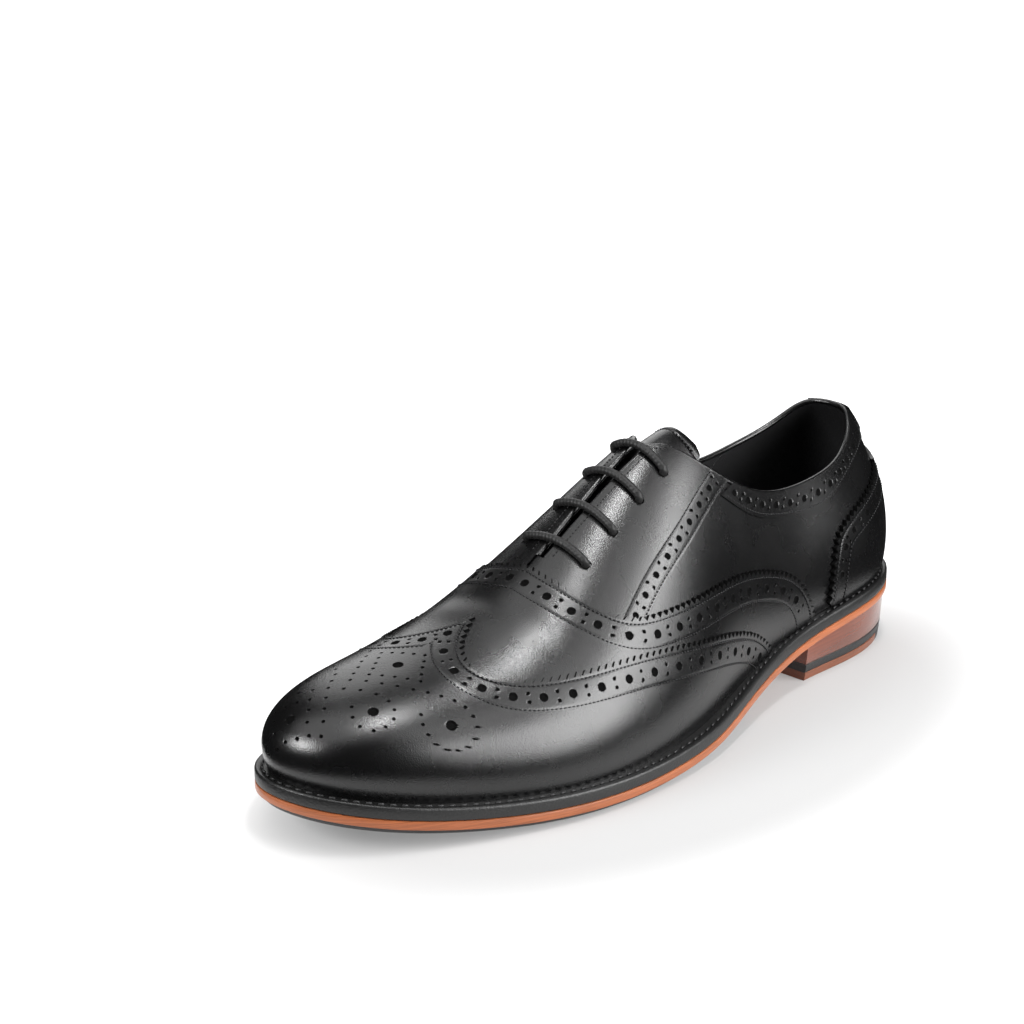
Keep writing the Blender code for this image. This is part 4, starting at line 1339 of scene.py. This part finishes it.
def ring_sweep(sections_at, count=320):
    """Ring round the shoe: a closed profile of (inset, height) pairs carried round the sole's edge."""
    rows = []
    for inset, height in sections_at:
        lateral, medial = sole_loop(inset, count)
        loop = np.concatenate([lateral, medial[-2:0:-1]])
        rows.append(np.stack([loop[:, 0], loop[:, 1], height(loop[:, 0])], -1))
    rows.append(rows[0])
    grid = np.array(rows)
    return grid.reshape(-1, 3), grid_faces(*grid.shape[:2], wrap=True)


def layer(insets, heights, count=260, across=24, breast=None):
    """Solid of one sole or heel layer: its wall in rows from the top down, and a top and a bottom grid.

    insets and heights give each row's inset and height over x. With a breast the layer ends at that x in a
    flat front face; otherwise it runs to the toe."""
    walls = []
    for inset, height in zip(insets, heights):
        lateral, medial = sole_loop(inset, count)
        if breast is not None:
            lateral, medial = [cut_branch(branch, *breast, count) for branch in (lateral, medial)]
        walls.append([np.stack([b[:, 0], b[:, 1], height(b[:, 0])], -1) for b in (lateral, medial)])
    share = np.linspace(0, 1, across + 1)[None, :, None]
    parts = []
    for lateral, medial in (walls[0], walls[-1]):
        grid = lateral[:, None] * (1 - share) + medial[:, None] * share
        parts.append((grid.reshape(-1, 3), grid_faces(count + 1, across + 1)))
    for k in (0, 1):
        grid = np.array([wall[k] for wall in walls])
        parts.append((grid.reshape(-1, 3), grid_faces(*grid.shape[:2])))
    for end in (0, -1):
        grid = np.array([wall[0][end] * (1 - share[0]) + wall[1][end] * share[0] for wall in walls])
        parts.append((grid.reshape(-1, 3), grid_faces(*grid.shape[:2])))
    return join(parts)


def cut_branch(branch, start, end, count):
    """Part of a branch between two x, with even steps; None leaves an end as it is."""
    points = even_points(branch, 2000)
    keep = np.ones(len(points), bool)
    if start is not None:
        keep &= points[:, 0] >= start
    if end is not None:
        keep &= points[:, 0] <= end
    return even_points(points[keep], count + 1)


def add_layer(name, insets, heights, material, slot, nodes, **options):
    """A sole layer as a piece, its faces turned outwards and its edges sharp."""
    points, faces = layer(insets, heights, **options)
    item = add_piece(name, points, faces, material, slot, nodes, weld=0.01)
    turn_outwards(item)
    item.data.set_sharp_from_angle(angle=math.radians(35))
    return item


def flat_inset(size):
    """The same inset all round."""
    return lambda x: 0 * x + size


def over_tread(rise):
    """Height over the underside of the tan layer."""
    return lambda x: tread(x) + rise


class OXFORD_OT_welt(bpy.types.Operator):
    """Welt round the shoe with a pressed groove and its row of stitches"""
    bl_idname = "oxford.welt"
    bl_label = "Welt"

    def execute(self, context):
        sizes = context.scene.oxford_sizes
        colour = tuple(context.scene.oxford_colours.welt)
        top = TAN_THICK + WELT_THICK
        low = TAN_THICK + 0.1
        profile_at = [(flat_inset(0.5), over_tread(low)), (flat_inset(0.15), over_tread(low + 0.2)),
                      (flat_inset(0.0), over_tread(low + 0.7)), (flat_inset(0.0), over_tread(top - 1.0)),
                      (flat_inset(0.1), over_tread(top - 0.5)), (flat_inset(0.35), over_tread(top - 0.15)),
                      (flat_inset(0.8), over_tread(top)), (flat_inset(1.8), over_tread(top)),
                      (flat_inset(2.3), over_tread(top - 0.3)), (flat_inset(2.9), over_tread(top - 0.3)),
                      (flat_inset(3.3), over_tread(top)),
                      (lambda x: welt_width(x) + WALL + 0.5, over_tread(top)),
                      (lambda x: welt_width(x) + WALL + 0.5, over_tread(low))]
        points, faces = ring_sweep(profile_at, 420)
        material = leather_material("welt_leather", colour, 0.42, 0.0, 0.2, 0.00005, 1300.0)
        add_piece("welt_strip", points, solid_out(points, faces), material, "welt_black", ("welt",),
                  sharp=60)
        lateral, medial = sole_loop(flat_inset(2.6), 400)
        loop = np.concatenate([lateral, medial[-2::-1]])
        path = np.stack([loop[:, 0], loop[:, 1], tread(loop[:, 0]) + top - 0.1], -1)
        up = np.broadcast_to((0.0, 0.0, 1.0), path.shape)
        seam = thread_along(path, up, sizes.welt_pitch / MM, 0.4, 0.65, 0.15)
        thread = thread_material("welt_thread", tuple(context.scene.oxford_colours.welt_thread))
        add_piece("welt_stitches", *seam, thread, "welt_black", weld=0.001)
        return {"FINISHED"}


class OXFORD_OT_soles(bpy.types.Operator):
    """Insole, tan layer and the thin black rubber under the forefoot"""
    bl_idname = "oxford.soles"
    bl_label = "Soles"

    def execute(self, context):
        colours = context.scene.oxford_colours
        tan = layered_material("tan_sole", tuple(colours.tan), 0.42, 0.25, (60.0, 60.0, 2200.0), 0.35)
        rubber = sole_rubber(context)
        floor = TAN_THICK + GAP

        def inside(x):
            return welt_width(x) + WALL + 4 * GAP

        add_layer("sock", (inside, inside), (over_tread(floor + INSOLE_THICK), over_tread(floor)),
                  lining_leather(context), "lining", ("insole",))
        rows = ((0.45, 0.0), (0.12, -0.2), (0.0, -0.55), (0.0, 0.55 - TAN_THICK), (0.12, 0.2 - TAN_THICK),
                (0.45, -TAN_THICK))
        add_layer("tan_layer", [flat_inset(inset) for inset, _ in rows],
                  [over_tread(TAN_THICK + rise) for _, rise in rows], tan, "tan_leather", ("midsole",))

        def rubber_low(share):
            def height(x):
                taper = (HALF_SOLE_BACK, HALF_SOLE_BACK + HALF_SOLE_TAPER)
                thick = np.interp(x, taper, (0.4, HALF_SOLE_THICK))
                return np.maximum(tread(x) - thick * share, 0)
            return height

        rows = ((0.0, 0.0), (0.1, 0.3), (0.6, 0.8), (1.0, 1.0))
        add_layer("forefoot_rubber",
                  [flat_inset(HALF_SOLE_INSET + HALF_SOLE_SLOPE * part) for part, _ in rows],
                  [rubber_low(share) for _, share in rows], rubber, "rubber", ("half_sole",),
                  breast=(HALF_SOLE_BACK, None))
        return {"FINISHED"}


class OXFORD_OT_heel(bpy.types.Operator):
    """Heel in its layers: mahogany stack, black layer, brown lift and the black rear corner"""
    bl_idname = "oxford.heel"
    bl_label = "Heel"

    def execute(self, context):
        colours = context.scene.oxford_colours
        stack = layered_material("mahogany_stack", tuple(colours.mahogany), 0.26, 0.5,
                                 (35.0, 35.0, 900.0), 0.35)
        lift = layered_material("brown_lift", tuple(colours.lift), 0.42, 0.25, (60.0, 60.0, 2200.0), 0.3)
        rubber = sole_rubber(context)

        def level(z):
            return lambda x: 0 * x + z

        def inset(z, more=0.0):
            return flat_inset(HEEL_INSET * (1 + (RUBBER_TOP * 2 - z) / (RUBBER_TOP * 2)) + more)

        whole = (None, HEEL_BREAST)
        top = RUBBER_TOP * 2
        add_layer("heel_stack_leather",
                  [inset(top), inset(top), inset(RUBBER_TOP + 0.6), inset(RUBBER_TOP, 0.25)],
                  [over_tread(-0.1), over_tread(-0.6), level(RUBBER_TOP + 0.5), level(RUBBER_TOP + 0.05)],
                  stack, "heel_brown", ("heel_stack",), breast=whole, count=160)
        add_layer("heel_black_layer", [inset(RUBBER_TOP, 0.25), inset(RUBBER_TOP), inset(LIFT_TOP),
                                       inset(LIFT_TOP, 0.25)],
                  [level(RUBBER_TOP), level(RUBBER_TOP - 0.3), level(LIFT_TOP + 0.35),
                   level(LIFT_TOP + 0.05)],
                  rubber, "rubber", ("heel_rubber",), breast=whole, count=160)
        rows = [inset(LIFT_TOP, 0.2), inset(LIFT_TOP), inset(0.3), inset(0, 0.3)]
        heights = [level(LIFT_TOP), level(LIFT_TOP - 0.25), level(0.3), level(0.0)]
        add_layer("heel_tan_lift", rows, heights, lift, "tan_leather", ("heel_lift",),
                  breast=(CORNER_FRONT, HEEL_BREAST), count=120)
        add_layer("heel_black_corner", rows, heights, rubber, "rubber", ("heel_corner",),
                  breast=(None, CORNER_FRONT), count=90)
        return {"FINISHED"}


class OXFORD_OT_stage(bpy.types.Operator):
    """Pale floor, soft lights and the camera"""
    bl_idname = "oxford.stage"
    bl_label = "Stage"

    @staticmethod
    def hang(scene, name, lamp, middle, turn, rise, away):
        """A lamp at a turn from the toe's direction, a rise and a distance, aimed at the shoe."""
        item = bpy.data.objects.new(name, lamp)
        turn, rise = math.radians(turn), math.radians(rise)
        level = math.cos(rise)
        way = mathutils.Vector((math.cos(turn) * level, math.sin(turn) * level, math.sin(rise)))
        item.location = middle + way * away
        item.rotation_euler = (-way).to_track_quat("-Z", "Y").to_euler()
        scene.collection.objects.link(item)

    def execute(self, context):
        scene = context.scene
        angle = np.arange(96) * 2 * math.pi / 96
        round_ = np.stack([np.cos(angle), np.sin(angle), 0 * angle], -1)
        near, far = round_ * (*FLOOR_NEAR, 0), round_ * (FLOOR_FAR, FLOOR_FAR, 0)
        material = floor_material()
        quads = grid_faces(2, 96, wrap=True)[:, ::-1].tolist()
        for name, rings, seen in (("floor_near", (round_ * 0, near), True),
                                  ("floor_far", (near, far), False)):
            mesh = bpy.data.meshes.new(name)
            mesh.from_pydata(np.concatenate(rings).tolist(), [], quads)
            mesh.materials.append(material)
            floor = bpy.data.objects.new(name, mesh)
            scene.collection.objects.link(floor)
            floor.visible_glossy = seen
        world = bpy.data.worlds.new("studio")
        world.use_nodes = True
        world.node_tree.nodes["Background"].inputs["Color"].default_value = (1, 1, 1, 1)
        world.node_tree.nodes["Background"].inputs["Strength"].default_value = 0.015
        scene.world = world
        middle = mathutils.Vector((0.02, 0.0, 0.05))
        for name, turn, rise, away, size, power in SOFT_BOXES:
            lamp = bpy.data.lights.new(name, "AREA")
            lamp.shape = "RECTANGLE"
            lamp.size, lamp.size_y = size
            lamp.energy = power
            self.hang(scene, name, lamp, middle, turn, rise, away)
        sun = bpy.data.lights.new("ceiling", "SUN")
        sun.energy = 0.9
        sun.angle = math.radians(60)
        self.hang(scene, "ceiling", sun, middle, -40.0, 76.0, 2.0)
        camera = bpy.data.cameras.new("camera")
        camera.lens = CAMERA_LENS
        camera.sensor_width = 36.0
        camera.clip_end = 50.0
        item = bpy.data.objects.new("camera", camera)
        stand = mathutils.Vector((np.array(CAMERA_FROM) - ORIGIN) * MM)
        aim = mathutils.Vector((np.array(CAMERA_AT) - ORIGIN) * MM)
        item.location = stand
        item.rotation_euler = (aim - stand).to_track_quat("-Z", "Y").to_euler()
        scene.collection.objects.link(item)
        scene.camera = item
        scene.view_settings.view_transform = "Standard"
        return {"FINISHED"}


OPERATORS = (OXFORD_OT_wing_cap, OXFORD_OT_vamp, OXFORD_OT_counter, OXFORD_OT_quarters,
             OXFORD_OT_lining, OXFORD_OT_tongue, OXFORD_OT_laces, OXFORD_OT_welt, OXFORD_OT_soles,
             OXFORD_OT_heel, OXFORD_OT_stage)


class OXFORD_PT_panel(bpy.types.Panel):
    """Sizes, colours and pieces of the shoe"""
    bl_idname = "OXFORD_PT_panel"
    bl_label = "Oxford"
    bl_space_type = "VIEW_3D"
    bl_region_type = "UI"
    bl_category = "Oxford"

    def draw(self, context):
        column = self.layout.column()
        for group in (context.scene.oxford_sizes, context.scene.oxford_colours):
            for key in group.__annotations__:
                column.prop(group, key)
        for operator in OPERATORS:
            column.operator(operator.bl_idname)


CLASSES = (OxfordSizes, OxfordColours, *OPERATORS, OXFORD_PT_panel)


def register():
    """Make the classes known and hang the properties on the scene."""
    for item in CLASSES:
        bpy.utils.register_class(item)
    bpy.types.Scene.oxford_sizes = bpy.props.PointerProperty(type=OxfordSizes)
    bpy.types.Scene.oxford_colours = bpy.props.PointerProperty(type=OxfordColours)


def unregister():
    """Undo register."""
    del bpy.types.Scene.oxford_colours
    del bpy.types.Scene.oxford_sizes
    for item in reversed(CLASSES):
        bpy.utils.unregister_class(item)


def main():
    """Build every piece in order."""
    register()
    for operator in OPERATORS:
        group, name = operator.bl_idname.split(".")
        getattr(getattr(bpy.ops, group), name)()
    bpy.context.view_layer.update()


if __name__ == "__main__":
    main()
